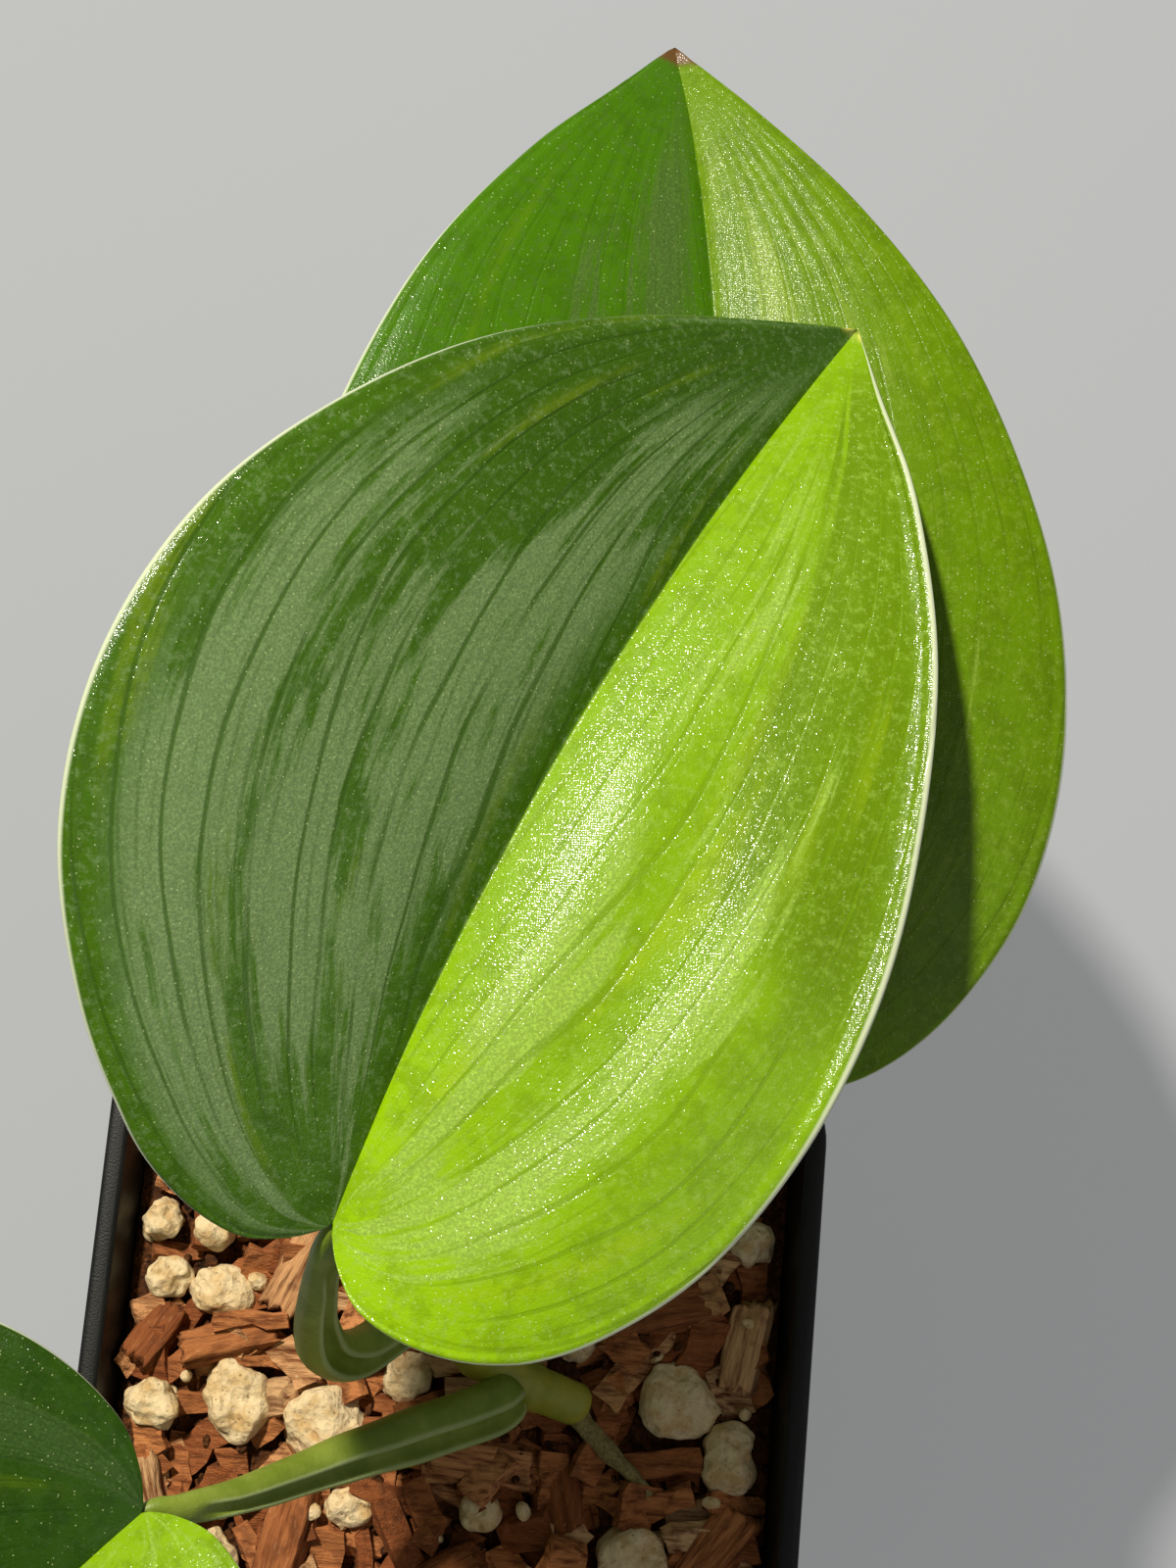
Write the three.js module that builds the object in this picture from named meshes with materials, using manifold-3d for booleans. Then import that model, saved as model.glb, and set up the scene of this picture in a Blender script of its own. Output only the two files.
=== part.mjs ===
// A young scindapsus with three leaves, growing in a square nursery pot
// that is filled with a chunky mix of bark chips and pumice.
// Units are millimetres, +Z is up, and the origin is the middle of the pot's foot.
import * as THREE from 'three';
import { mergeVertices } from 'three/addons/utils/BufferGeometryUtils.js';
import Module from 'manifold-3d';

const wasm = await Module();
wasm.setup();

// Driving dimensions of the pot
const POT_HEIGHT = 62;
const RIM_WIDTH = 64;
const FOOT_WIDTH = 47;
const LIP_HEIGHT = 4;
const LIP_OUT = 0.8;
const WALL = 1.1;
const RIM_CORNER = 7;
const FOOT_CORNER = 5;
const FOOT_RING_WIDTH = 3;
const PAD_WIDTH = 14;
const FLOOR_UNDERSIDE = 1.2;
const FLOOR_TOP = 2.6;
const CORNER_DRAIN_RADIUS = 3.2;
const CORNER_DRAIN_REACH = 13;
const SIDE_DRAIN_RADIUS = 2.4;
const SIDE_DRAIN_REACH = 14;

// Driving dimensions of the mix and of what lies in it
const MIX_LEVEL = 57;
const MIX_BUMP = 0.7;

// Room between pieces that touch
const GAP = 0.3;

// Driving dimensions of the leaves
const BLADE_THICKNESS = 0.8;
const BLADE_ROWS = 16;
const BLADE_COLUMNS = 4;

// Numbers that look random but come out the same every time
function makeRandom(seed) {
  let state = seed;
  return () => {
    state = (state * 16807) % 2147483647;
    return state / 2147483647;
  };
}

// Solids: a closed geometry becomes a manifold, and a manifold a geometry
function toSolid(geometry) {
  const bare = geometry.clone();
  bare.deleteAttribute('normal');
  bare.deleteAttribute('uv');
  const merged = mergeVertices(bare, 1e-5);
  const index = Array.from(merged.index.array);
  const triVerts = [];
  for (let i = 0; i < index.length; i += 3) {
    const [a, b, c] = index.slice(i, i + 3);
    if (a !== b && b !== c && c !== a) triVerts.push(a, b, c);
  }
  return new wasm.Manifold(new wasm.Mesh({
    numProp: 3,
    vertProperties: new Float32Array(merged.attributes.position.array),
    triVerts: new Uint32Array(triVerts),
  }));
}

function toGeometry(solid) {
  const mesh = solid.getMesh();
  const geometry = new THREE.BufferGeometry();
  geometry.setAttribute('position', new THREE.BufferAttribute(new Float32Array(mesh.vertProperties), 3));
  geometry.setIndex(new THREE.BufferAttribute(new Uint32Array(mesh.triVerts), 1));
  return geometry;
}

// A closed skin through rings of equal point counts, with a flat fan at each end
function loft(rings) {
  const count = rings[0].length;
  const positions = rings.flat().flatMap((p) => [p.x, p.y, p.z]);
  const index = [];
  for (let r = 0; r < rings.length - 1; r += 1) {
    for (let i = 0; i < count; i += 1) {
      const j = (i + 1) % count;
      const a = r * count + i;
      const b = r * count + j;
      index.push(a, b, b + count, a, b + count, a + count);
    }
  }
  const last = (rings.length - 1) * count;
  for (let i = 1; i < count - 1; i += 1) {
    index.push(0, i + 1, i);
    index.push(last, last + i, last + i + 1);
  }
  const geometry = new THREE.BufferGeometry();
  geometry.setAttribute('position', new THREE.Float32BufferAttribute(positions, 3));
  geometry.setIndex(index);
  return geometry;
}

// Pot: one thin moulded shell, tapered, with a lip around the rim. It stands on
// a foot ring and a middle pad, and eight drain holes open in the groove between.
function squareRing(width, corner, z, stepsPerCorner = 4) {
  const ring = [];
  const centre = width / 2 - corner;
  for (let quarter = 0; quarter < 4; quarter += 1) {
    const middle = Math.PI / 4 + quarter * Math.PI / 2;
    const cx = Math.sign(Math.cos(middle)) * centre;
    const cy = Math.sign(Math.sin(middle)) * centre;
    for (let step = 0; step <= stepsPerCorner; step += 1) {
      const angle = quarter * Math.PI / 2 + step / stepsPerCorner * Math.PI / 2;
      ring.push(new THREE.Vector3(cx + corner * Math.cos(angle), cy + corner * Math.sin(angle), z));
    }
  }
  return ring;
}

function potWidth(z) {
  const bodyTop = RIM_WIDTH - 2 * LIP_OUT;
  return FOOT_WIDTH + (bodyTop - FOOT_WIDTH) * z / POT_HEIGHT;
}

function potCorner(z) {
  return FOOT_CORNER + (RIM_CORNER - FOOT_CORNER) * z / POT_HEIGHT;
}

// The space inside the walls, drawn in from them by a margin
function potInside(bottom, top, margin) {
  const inset = 2 * (WALL + margin);
  return toSolid(loft([bottom, top].map((z) => squareRing(potWidth(z) - inset, potCorner(z) - WALL, z))));
}

// Cutters for the underside: a rounded square as deep as the groove, and a drain hole
function squarePlug(width, corner) {
  return toSolid(loft([squareRing(width, corner, -1), squareRing(width, corner, FLOOR_UNDERSIDE)]));
}

function drill(radius, reach, angle) {
  const cylinder = new THREE.CylinderGeometry(radius, radius, 4 * FLOOR_TOP, 16);
  cylinder.rotateX(Math.PI / 2);
  cylinder.translate(reach * Math.cos(angle), reach * Math.sin(angle), 0);
  return toSolid(cylinder);
}

function makePot() {
  const lipBottom = POT_HEIGHT - LIP_HEIGHT;
  const outer = toSolid(loft([
    squareRing(potWidth(0), potCorner(0), 0),
    squareRing(potWidth(lipBottom), potCorner(lipBottom), lipBottom),
    squareRing(potWidth(lipBottom) + 2 * LIP_OUT, potCorner(lipBottom) + LIP_OUT, lipBottom + LIP_OUT),
    squareRing(RIM_WIDTH, RIM_CORNER, POT_HEIGHT),
  ]));
  const grooveWidth = FOOT_WIDTH - 2 * FOOT_RING_WIDTH;
  const groove = squarePlug(grooveWidth, FOOT_CORNER - 2).subtract(squarePlug(PAD_WIDTH, 2));
  let pot = outer.subtract(potInside(FLOOR_TOP, POT_HEIGHT + 1, 0)).subtract(groove);
  for (let quarter = 0; quarter < 4; quarter += 1) {
    const angle = quarter * Math.PI / 2;
    const corner = CORNER_DRAIN_REACH * Math.SQRT2;
    pot = pot.subtract(drill(CORNER_DRAIN_RADIUS, corner, angle + Math.PI / 4));
    pot = pot.subtract(drill(SIDE_DRAIN_RADIUS, SIDE_DRAIN_REACH, angle));
  }
  return pot;
}

// Stalks, stem and roots: a rod along a smooth curve. radii are its half widths from
// the first point to the last, depth is its thickness over its width, and extra makes
// it larger all round.
function rod({ points, radii, depth = 1, extra = 0 }, steps = 14, sides = 10) {
  const curve = new THREE.CatmullRomCurve3(points.map((p) => new THREE.Vector3(...p)), false, 'centripetal');
  const frames = curve.computeFrenetFrames(steps, false);
  const up = new THREE.Vector3(0, 0, 1);
  const rings = [];
  for (let i = 0; i <= steps; i += 1) {
    const t = i / steps;
    const centre = curve.getPointAt(t);
    const along = frames.tangents[i];
    const side = new THREE.Vector3().crossVectors(up, along).normalize();
    const face = new THREE.Vector3().crossVectors(along, side).normalize();
    const place = t * (radii.length - 1);
    const k = Math.min(Math.floor(place), radii.length - 2);
    const radius = radii[k] + (radii[k + 1] - radii[k]) * (place - k);
    const ring = [];
    for (let j = 0; j < sides; j += 1) {
      const angle = j / sides * 2 * Math.PI;
      ring.push(centre.clone()
        .addScaledVector(side, (radius + extra) * Math.cos(angle))
        .addScaledVector(face, (radius * depth + extra) * Math.sin(angle)));
    }
    rings.push(ring);
  }
  return toSolid(loft(rings));
}

// Blade outline of every leaf, from the stalk to the tip:
// x as a share of the half's width, y as a share of the blade's length
const OUTLINE = [
  [0, 0], [0.075, -0.026], [0.19, -0.045], [0.35, -0.04], [0.515, -0.012], [0.705, 0.051], [0.88, 0.152],
  [0.967, 0.28], [0.955, 0.423], [0.854, 0.556], [0.677, 0.697], [0.428, 0.825], [0.18, 0.925],
  [0.044, 0.985], [0, 1],
];

// The three leaves. The midrib climbs at riseAtStalk degrees and bends over to
// riseAtTip; each half is folded up from it by fold degrees and then curls back
// by its camber degrees. heading is clockwise from +Y, seen from above. Width and
// camber are given for the left half and then for the right half.
const LEAVES = {
  front: {
    base: [-6.5, 12.8, 107.6], heading: 27.4, roll: 12.9, riseAtStalk: 6.5, riseAtTip: -18.9, pitch: -2,
    length: 81.6, width: [34.2, 30.3], fold: 25.7, camber: [18, 28], tipAside: -3.2, bow: -4.9,
  },
  back: {
    base: [18.7, 30.7, 91.2], heading: 0.2, roll: 8.3, riseAtStalk: 15.8, riseAtTip: -13.3, pitch: 5.7,
    length: 82.6, width: [35.8, 29], fold: 20.4, camber: [25.6, 31], tipAside: -7.9, bow: -1.1,
  },
  left: {
    base: [-20, -9, 91], heading: -137.5, roll: 6, riseAtStalk: 5, riseAtTip: -35.5, pitch: -5.5,
    length: 66, width: [33, 35.5], fold: 26, camber: [30, 30], tipAside: -6, bow: 0,
  },
};

const radians = THREE.MathUtils.degToRad;

// Points evenly spaced along one half's outline
function halfOutline(width, length, rows) {
  const corners = OUTLINE.map(([x, y]) => new THREE.Vector2(x * width, y * length));
  return new THREE.SplineCurve(corners).getSpacedPoints(rows);
}

// Where a place on the flat blade comes to lie once the midrib is bent
function bentMidrib(leaf, y) {
  const steps = 60;
  const first = radians(leaf.riseAtStalk - leaf.pitch);
  const last = radians(leaf.riseAtTip - leaf.pitch);
  if (y < 0) return { y: y * Math.cos(first), z: y * Math.sin(first), angle: first };
  let along = 0;
  let up = 0;
  const share = Math.min(y / leaf.length, 1);
  for (let i = 0; i < steps; i += 1) {
    const angle = first + (last - first) * share * (i + 0.5) / steps;
    along += Math.cos(angle) * share * leaf.length / steps;
    up += Math.sin(angle) * share * leaf.length / steps;
  }
  return { y: along, z: up, angle: first + (last - first) * share };
}

// One point of a half: side is -1 or +1, x and y are its place on the flat blade
function bladePoint(leaf, side, x, y) {
  const half = side < 0 ? 0 : 1;
  const fold = radians(leaf.fold);
  const curl = radians(leaf.camber[half]) / leaf.width[half];
  const turn = fold - curl * x;
  const across = (Math.sin(fold) - Math.sin(turn)) / curl;
  const lift = (Math.cos(turn) - Math.cos(fold)) / curl;
  const mid = bentMidrib(leaf, y);
  const share = THREE.MathUtils.clamp(y / leaf.length, 0, 1);
  const aside = leaf.tipAside * share ** 3 + leaf.bow * 4 * share * (1 - share);
  const point = new THREE.Vector3(
    side * across + aside,
    mid.y - Math.sin(mid.angle) * lift,
    mid.z + Math.cos(mid.angle) * lift,
  );
  point.applyAxisAngle(new THREE.Vector3(0, 1, 0), radians(leaf.roll));
  point.applyAxisAngle(new THREE.Vector3(1, 0, 0), radians(leaf.pitch));
  point.applyAxisAngle(new THREE.Vector3(0, 0, 1), -radians(leaf.heading));
  return point.add(new THREE.Vector3(...leaf.base));
}

// A blade is one thin closed sheet. Its rows run from the midrib to the margin
// and close to a point at the stalk and at the tip.
function makeBlade(leaf, thickness) {
  const across = 2 * BLADE_COLUMNS + 1;
  const outlines = leaf.width.map((width) => halfOutline(width, leaf.length, BLADE_ROWS));
  const points = [bladePoint(leaf, 1, 0, 0)];
  for (let row = 1; row < BLADE_ROWS; row += 1) {
    for (let column = -BLADE_COLUMNS; column <= BLADE_COLUMNS; column += 1) {
      const side = column < 0 ? -1 : 1;
      const edge = outlines[column < 0 ? 0 : 1][row];
      const share = Math.abs(column) / BLADE_COLUMNS;
      const midribY = leaf.length * row / BLADE_ROWS;
      points.push(bladePoint(leaf, side, edge.x * share, midribY + (edge.y - midribY) * share));
    }
  }
  points.push(bladePoint(leaf, 1, 0, leaf.length));
  const tip = points.length - 1;
  const at = (row, column) => 1 + (row - 1) * across + column;
  const faces = [];
  for (let column = 0; column < across - 1; column += 1) {
    faces.push([0, at(1, column + 1), at(1, column)]);
    faces.push([tip, at(BLADE_ROWS - 1, column), at(BLADE_ROWS - 1, column + 1)]);
    for (let row = 1; row < BLADE_ROWS - 1; row += 1) {
      faces.push([at(row, column), at(row, column + 1), at(row + 1, column + 1)]);
      faces.push([at(row, column), at(row + 1, column + 1), at(row + 1, column)]);
    }
  }
  const sheet = new THREE.BufferGeometry().setFromPoints(points);
  sheet.setIndex(faces.flat());
  sheet.computeVertexNormals();
  const normals = sheet.attributes.normal;
  const skin = [0.5, -0.5].flatMap((half) => points.map((point, i) => {
    const normal = new THREE.Vector3().fromBufferAttribute(normals, i);
    return point.clone().addScaledVector(normal, half * thickness);
  }));
  const rim = [0];
  for (let row = 1; row < BLADE_ROWS; row += 1) rim.push(at(row, across - 1));
  rim.push(tip);
  for (let row = BLADE_ROWS - 1; row > 0; row -= 1) rim.push(at(row, 0));
  const under = points.length;
  const closed = faces.flatMap(([a, b, c]) => [a, b, c, under + a, under + c, under + b]);
  rim.forEach((a, i) => {
    const b = rim[(i + 1) % rim.length];
    closed.push(a, under + a, under + b, a, under + b, b);
  });
  const geometry = new THREE.BufferGeometry().setFromPoints(skin);
  geometry.setIndex(closed);
  return toSolid(geometry);
}

// The short stem lies just above the mix; its old end points to the right and front.
// Roots go down from it, and each leaf stalk leaves it with a sheath that is
// wider at the stem than at the blade.
const STEM = {
  points: [[11.6, 0.8, 59], [7, 2.2, 61.2], [2.6, 4.6, 63.4], [-0.4, 7.2, 65.8]],
  radii: [1.9, 2, 2.1, 1.8],
};
const ROOTS = {
  aerial_root: {
    points: [[12.4, -0.8, 58.6], [15, -3.2, 58.4], [17.2, -5, 58.2], [19.3, -7, 57.6], [20.8, -8.6, 55]],
    radii: [0.9, 0.7, 0.6, 0.55, 0.5],
  },
  anchor_root: {
    points: [[4.5, 2.8, 60.2], [5, 3, 55], [4, 4.5, 48], [6, 6, 38]],
    radii: [1.1, 1, 0.8, 0.5],
  },
};
const STALKS = {
  front: {
    points: [
      [-1.7, 8.5, 67.6], [-4.6, 5.5, 70.2], [-7, 3.6, 74], [-8.7, 3.8, 80],
      [-9, 5.6, 87], [-8.3, 8, 95], [-7.4, 10.4, 102], [-6.5, 12.5, 107],
    ],
    radii: [2.2, 2.2, 2.1, 2, 1.8, 1.6, 1.4, 1.3],
    depth: 0.8,
  },
  back: {
    points: [[2.2, 7, 65.6], [5.5, 13, 70.5], [10.5, 20.5, 76.5], [15.8, 27.2, 84.5], [18.6, 30.3, 90.7]],
    radii: [2.2, 2, 1.7, 1.5, 1.3],
    depth: 0.8,
  },
  left: {
    points: [
      [4.2, -0.2, 64.2], [-0.5, -2.2, 68.6], [-7, -4.8, 76],
      [-13, -7.4, 83.6], [-17.2, -8.7, 88.4], [-19.8, -9, 90.7],
    ],
    radii: [2.5, 2.4, 2.1, 1.8, 1.5, 1.4],
    depth: 0.8,
  },
};

// Bark chips: split, flattish blocks. Each row holds the place of the middle,
// the length, the width and the turn in degrees.
const BARK = [
  [-25.2, 20.3, 7, 3.6, 68], [-16, 18.2, 9, 4, 20], [-13.7, 10.6, 9, 3.6, 67], [-19.7, 3.5, 8, 3, 18],
  [-26.1, 3.6, 5.8, 3, 60], [-7.9, 14.2, 8, 3.2, 100], [-12.6, -12.3, 9, 3.6, 82], [-25, -11, 8, 3.4, 105],
  [-9.5, -19.4, 10, 3.6, 31], [0.9, -15.6, 9, 4, 31], [3.4, -4.8, 9, 3.4, 178], [10, -18, 8, 3.4, 75],
  [11.2, -6.6, 8, 3.2, 107], [25.1, -10.7, 8, 3.6, 57], [18.9, 9.6, 10, 4, 13], [26.4, 6.8, 8, 3.4, 83],
  [10.9, 14.7, 9, 3.8, 140], [22.4, 21.6, 10, 4, 35], [-2, 21, 10, 4, 160], [-21, 26.6, 9, 3.2, 4],
  [8.6, 25.6, 9, 3.6, 15], [-19.4, -24, 9, 3.6, 150], [5.6, -25.6, 10, 3.8, 175], [25.2, -21.4, 9, 3.8, 100],
];

// Pumice: rounded, pitted lumps. Each row holds the place and the three widths.
const PUMICE = [
  [-26.7, 13.6, 4.2, 4.4, 4.2], [-25.8, 8.8, 4.4, 4, 4], [-22, 13.2, 3.8, 4.2, 3.8],
  [-21.2, 7.6, 4.8, 4.4, 4.2], [-25.2, -2.8, 4.6, 5.4, 4.4], [-18.4, -1.9, 6.8, 6, 4.8],
  [-10.6, -2.9, 7.4, 7.2, 5.2], [-3.3, 1.9, 4.8, 4.4, 3.8], [20.1, 2.1, 6.6, 7.6, 5],
  [25.6, -2.9, 5, 5.6, 4.4], [17.7, -12.2, 7.2, 5.6, 5], [-19.1, -15.1, 5, 4.6, 4.4],
  [-7.4, -9.5, 4, 4.4, 3.8], [10.6, 6, 4.8, 4, 3.8], [3.9, -9.4, 3.2, 3.2, 3], [26, 16.2, 5.2, 4.6, 4.2],
];

const CHIP_THICKNESS = 2.6;
const CHIP_TILT = 0.28;
const CHIP_LIFT = 0.6;
const PUMICE_SINK = 0.35;

// Height of the mix: an uneven surface of short and long waves
function mixHeight(x, y) {
  const short = Math.sin(x * 0.55 + 1.3) * Math.cos(y * 0.48 - 0.4);
  const long = Math.sin(x * 0.21 - y * 0.33);
  return MIX_LEVEL + MIX_BUMP * (short + 0.7 * long);
}

function bareGeometry(geometry) {
  geometry.deleteAttribute('normal');
  geometry.deleteAttribute('uv');
  return mergeVertices(geometry, 1e-4);
}

// One loose piece: a shape of unit size, stretched to size, with its corners pushed in and out
function roughPiece({ shape, size, seed, rough }) {
  const random = makeRandom(seed);
  const place = shape.attributes.position;
  for (let i = 0; i < place.count; i += 1) {
    const push = 1 + rough * (random() - 0.5);
    const corner = new THREE.Vector3().fromBufferAttribute(place, i);
    corner.multiply(new THREE.Vector3(...size)).multiplyScalar(push);
    place.setXYZ(i, corner.x, corner.y, corner.z);
  }
  return shape;
}

// extra makes a piece larger all round, for the pocket that it lies in
function makeChip([x, y, length, width, turn], number, extra = 0) {
  const random = makeRandom(900 + 37 * number);
  const tilt = [random() - 0.5, random() - 0.5].map((v) => 2 * CHIP_TILT * v);
  const size = [length, width, CHIP_THICKNESS * (0.85 + 0.4 * random())].map((v) => v + 2 * extra);
  const block = bareGeometry(new THREE.BoxGeometry(1, 1, 1, 3, 1, 1));
  const chip = roughPiece({ shape: block, size, seed: 50 + number, rough: 0.22 });
  chip.rotateX(tilt[0]);
  chip.rotateY(tilt[1]);
  chip.rotateZ(radians(turn));
  chip.translate(x, y, mixHeight(x, y) + CHIP_LIFT);
  return toSolid(chip);
}

function makePumice([x, y, wide, deep, high], number, extra = 0) {
  const ball = bareGeometry(new THREE.DodecahedronGeometry(0.56, 0));
  const size = [wide, deep, high].map((v) => v + 2 * extra);
  const lump = roughPiece({ shape: ball, size, seed: 400 + number, rough: 0.2 });
  lump.rotateZ(number);
  lump.translate(x, y, mixHeight(x, y) + high * (0.5 - PUMICE_SINK));
  return toSolid(lump);
}

// The mix fills the pot up to the uneven surface and has a pocket for each piece
function makeMix(buried) {
  const span = potWidth(POT_HEIGHT) + 2;
  const block = bareGeometry(new THREE.BoxGeometry(span, span, POT_HEIGHT, 10, 10, 1));
  block.translate(0, 0, POT_HEIGHT / 2);
  const place = block.attributes.position;
  for (let i = 0; i < place.count; i += 1) {
    if (place.getZ(i) > 1) place.setZ(i, mixHeight(place.getX(i), place.getY(i)));
  }
  let mix = toSolid(block).intersect(potInside(FLOOR_TOP + GAP, POT_HEIGHT, GAP));
  for (const piece of buried) mix = mix.subtract(piece);
  return mix;
}

// Materials
const blackPlastic = new THREE.MeshStandardMaterial({ color: 0x111211, roughness: 0.55, metalness: 0 });
const darkMix = new THREE.MeshStandardMaterial({ color: 0x2f1c0e, roughness: 0.95, metalness: 0 });
const bark = new THREE.MeshStandardMaterial({ color: 0x8a4f27, roughness: 0.85, metalness: 0 });
const pumice = new THREE.MeshStandardMaterial({ color: 0xe6d3a4, roughness: 0.95, metalness: 0 });
const leafGreen = new THREE.MeshStandardMaterial({ color: 0x4f7a1e, roughness: 0.38, metalness: 0 });
const stalkGreen = new THREE.MeshStandardMaterial({ color: 0x65763a, roughness: 0.5, metalness: 0 });
const stemGreen = new THREE.MeshStandardMaterial({ color: 0x6f7020, roughness: 0.55, metalness: 0 });
const rootTan = new THREE.MeshStandardMaterial({ color: 0x8e7245, roughness: 0.85, metalness: 0 });

const group = new THREE.Group();

function addNode(name, solid, material) {
  const mesh = new THREE.Mesh(toGeometry(solid), material);
  mesh.name = name;
  group.add(mesh);
}

addNode('pot', makePot(), blackPlastic);

const stemCut = rod({ ...STEM, extra: GAP });
addNode('stem', rod(STEM), stemGreen);

for (const [place, stalk] of Object.entries(STALKS)) {
  const leaf = LEAVES[place];
  addNode(`leaf_blade_${place}`, makeBlade(leaf, BLADE_THICKNESS), leafGreen);
  const bladeCut = makeBlade(leaf, BLADE_THICKNESS + 2 * GAP);
  addNode(`leaf_stalk_${place}`, rod(stalk).subtract(bladeCut).subtract(stemCut), stalkGreen);
}

const buried = [stemCut];
for (const [name, root] of Object.entries(ROOTS)) {
  addNode(name, rod(root, 10, 8).subtract(stemCut), rootTan);
  buried.push(rod({ ...root, extra: GAP }, 10, 8));
}

const twoDigits = (number) => String(number + 1).padStart(2, '0');
BARK.forEach((row, i) => {
  addNode(`bark_chip_${twoDigits(i)}`, makeChip(row, i), bark);
  buried.push(makeChip(row, i, GAP));
});
PUMICE.forEach((row, i) => {
  addNode(`pumice_${twoDigits(i)}`, makePumice(row, i), pumice);
  buried.push(makePumice(row, i, GAP));
});

addNode('potting_mix', makeMix(buried), darkMix);

export default group;
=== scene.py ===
# A young scindapsus with three satin leaves, growing in a square black nursery pot
# that is filled with bark chips and pumice. Sizes are written in millimetres.
import math
import bpy
import bmesh
import numpy as np
from mathutils import Matrix, Vector, noise


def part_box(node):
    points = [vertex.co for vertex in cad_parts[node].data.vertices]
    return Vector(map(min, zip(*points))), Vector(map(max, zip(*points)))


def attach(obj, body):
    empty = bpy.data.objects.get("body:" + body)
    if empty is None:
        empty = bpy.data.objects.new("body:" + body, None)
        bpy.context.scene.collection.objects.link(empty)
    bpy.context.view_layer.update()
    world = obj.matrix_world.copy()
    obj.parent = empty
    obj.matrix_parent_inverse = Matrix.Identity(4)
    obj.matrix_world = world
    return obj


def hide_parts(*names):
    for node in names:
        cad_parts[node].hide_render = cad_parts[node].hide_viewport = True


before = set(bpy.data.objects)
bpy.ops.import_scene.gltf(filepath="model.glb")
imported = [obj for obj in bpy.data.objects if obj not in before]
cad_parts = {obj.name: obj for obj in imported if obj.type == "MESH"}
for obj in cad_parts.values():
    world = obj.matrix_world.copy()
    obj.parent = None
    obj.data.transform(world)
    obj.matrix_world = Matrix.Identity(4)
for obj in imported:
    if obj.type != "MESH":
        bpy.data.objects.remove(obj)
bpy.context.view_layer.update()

MM = 0.001


# Camera: held above the pot's front edge, looking steeply down on the leaves.
CAMERA_PLACE = (12.18, 7.56, 290.3)
CAMERA_AZIMUTH = math.radians(5)
CAMERA_ELEVATION = math.radians(78)
CAMERA_LENS = 58.5

camera = bpy.data.objects.new("camera", bpy.data.cameras.new("camera"))
camera.data.lens = CAMERA_LENS
camera.data.clip_start = 0.01
camera.location = Vector(CAMERA_PLACE) * MM
looking = -Vector((
    math.sin(CAMERA_AZIMUTH) * math.cos(CAMERA_ELEVATION),
    -math.cos(CAMERA_AZIMUTH) * math.cos(CAMERA_ELEVATION),
    math.sin(CAMERA_ELEVATION),
))
camera.rotation_mode = "QUATERNION"
camera.rotation_quaternion = looking.to_track_quat("-Z", "Y")
bpy.context.scene.collection.objects.link(camera)
bpy.context.scene.camera = camera
bpy.context.scene.view_settings.view_transform = "Standard"


# Floor and light: a grey matt sheet with a slight glow, one small warm lamp high at the
# back left, a wide dim lamp at the front right and an even pale surround.
FLOOR_HALF = 2000
FLOOR_COLOUR = (0.235, 0.25, 0.265)
FLOOR_GLOW = 0.2
LAMP_TARGET = (8, 30, 80)
KEY = {"azimuth": 126, "elevation": 59, "distance": 900, "width": 60, "watts": 11.0}
FILL = {"azimuth": -30, "elevation": 50, "distance": 900, "width": 700, "watts": 0.6}
KEY_COLOUR = (1.0, 0.94, 0.83)
SURROUND_COLOUR = (0.96, 0.98, 1.0)
SURROUND_STRENGTH = 0.15


class Nodes:
    """Adds nodes to a node tree; each value is a number, a tuple, a word or a socket."""

    def __init__(self, tree):
        self.tree = tree

    def put(self, socket, value):
        if isinstance(value, bpy.types.NodeSocket):
            self.tree.links.new(value, socket)
        elif socket.type == "RGBA":
            socket.default_value = (*value[:3], 1)
        else:
            socket.default_value = value

    def add(self, kind, inputs=None, **settings):
        node = self.tree.nodes.new(kind)
        for name, value in settings.items():
            setattr(node, name, value)
        self.fill(node, inputs or {})
        return node

    def fill(self, node, inputs):
        for key, value in inputs.items():
            self.put(node.inputs[key], value)

    def math(self, operation, *values):
        node = self.add("ShaderNodeMath", dict(enumerate(values)), operation=operation)
        return node.outputs[0]

    def times(self, first, second):
        return self.math("MULTIPLY", first, second)

    def vector_math(self, operation, *values):
        node = self.add("ShaderNodeVectorMath", dict(enumerate(values)), operation=operation)
        return node.outputs[0]

    def mix(self, share, first, second):
        node = self.add("ShaderNodeMix", {0: share, 6: first, 7: second}, data_type="RGBA")
        return node.outputs[2]

    def step(self, value, low, high, at_low=0.0, at_high=1.0):
        places = {0: value, 1: low, 2: high, 3: at_low, 4: at_high}
        return self.add("ShaderNodeMapRange", places, interpolation_type="SMOOTHSTEP").outputs[0]

    def noise(self, vector, scale=1.0, detail=2.0, roughness=0.5):
        places = {"Vector": vector, "Scale": scale, "Detail": detail, "Roughness": roughness}
        return self.add("ShaderNodeTexNoise", places).outputs[0]

    def vector(self, x, y, z):
        return self.add("ShaderNodeCombineXYZ", {0: x, 1: y, 2: z}).outputs[0]

    def bump(self, height, depth, normal=None):
        """A surface raised by height times depth, in millimetres."""
        places = {"Height": height, "Distance": depth * MM, "Strength": 1.0}
        if normal is not None:
            places["Normal"] = normal
        return self.add("ShaderNodeBump", places).outputs[0]


def new_material(name):
    """A material with a bare principled shader: the material, its nodes and the shader."""
    material = bpy.data.materials.new(name)
    material.use_nodes = True
    return material, Nodes(material.node_tree), material.node_tree.nodes["Principled BSDF"]


def object_place(nodes):
    """The place of a surface point in millimetres."""
    place = nodes.add("ShaderNodeTexCoord").outputs["Object"]
    return nodes.vector_math("MULTIPLY", place, (1 / MM, 1 / MM, 1 / MM))


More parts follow.
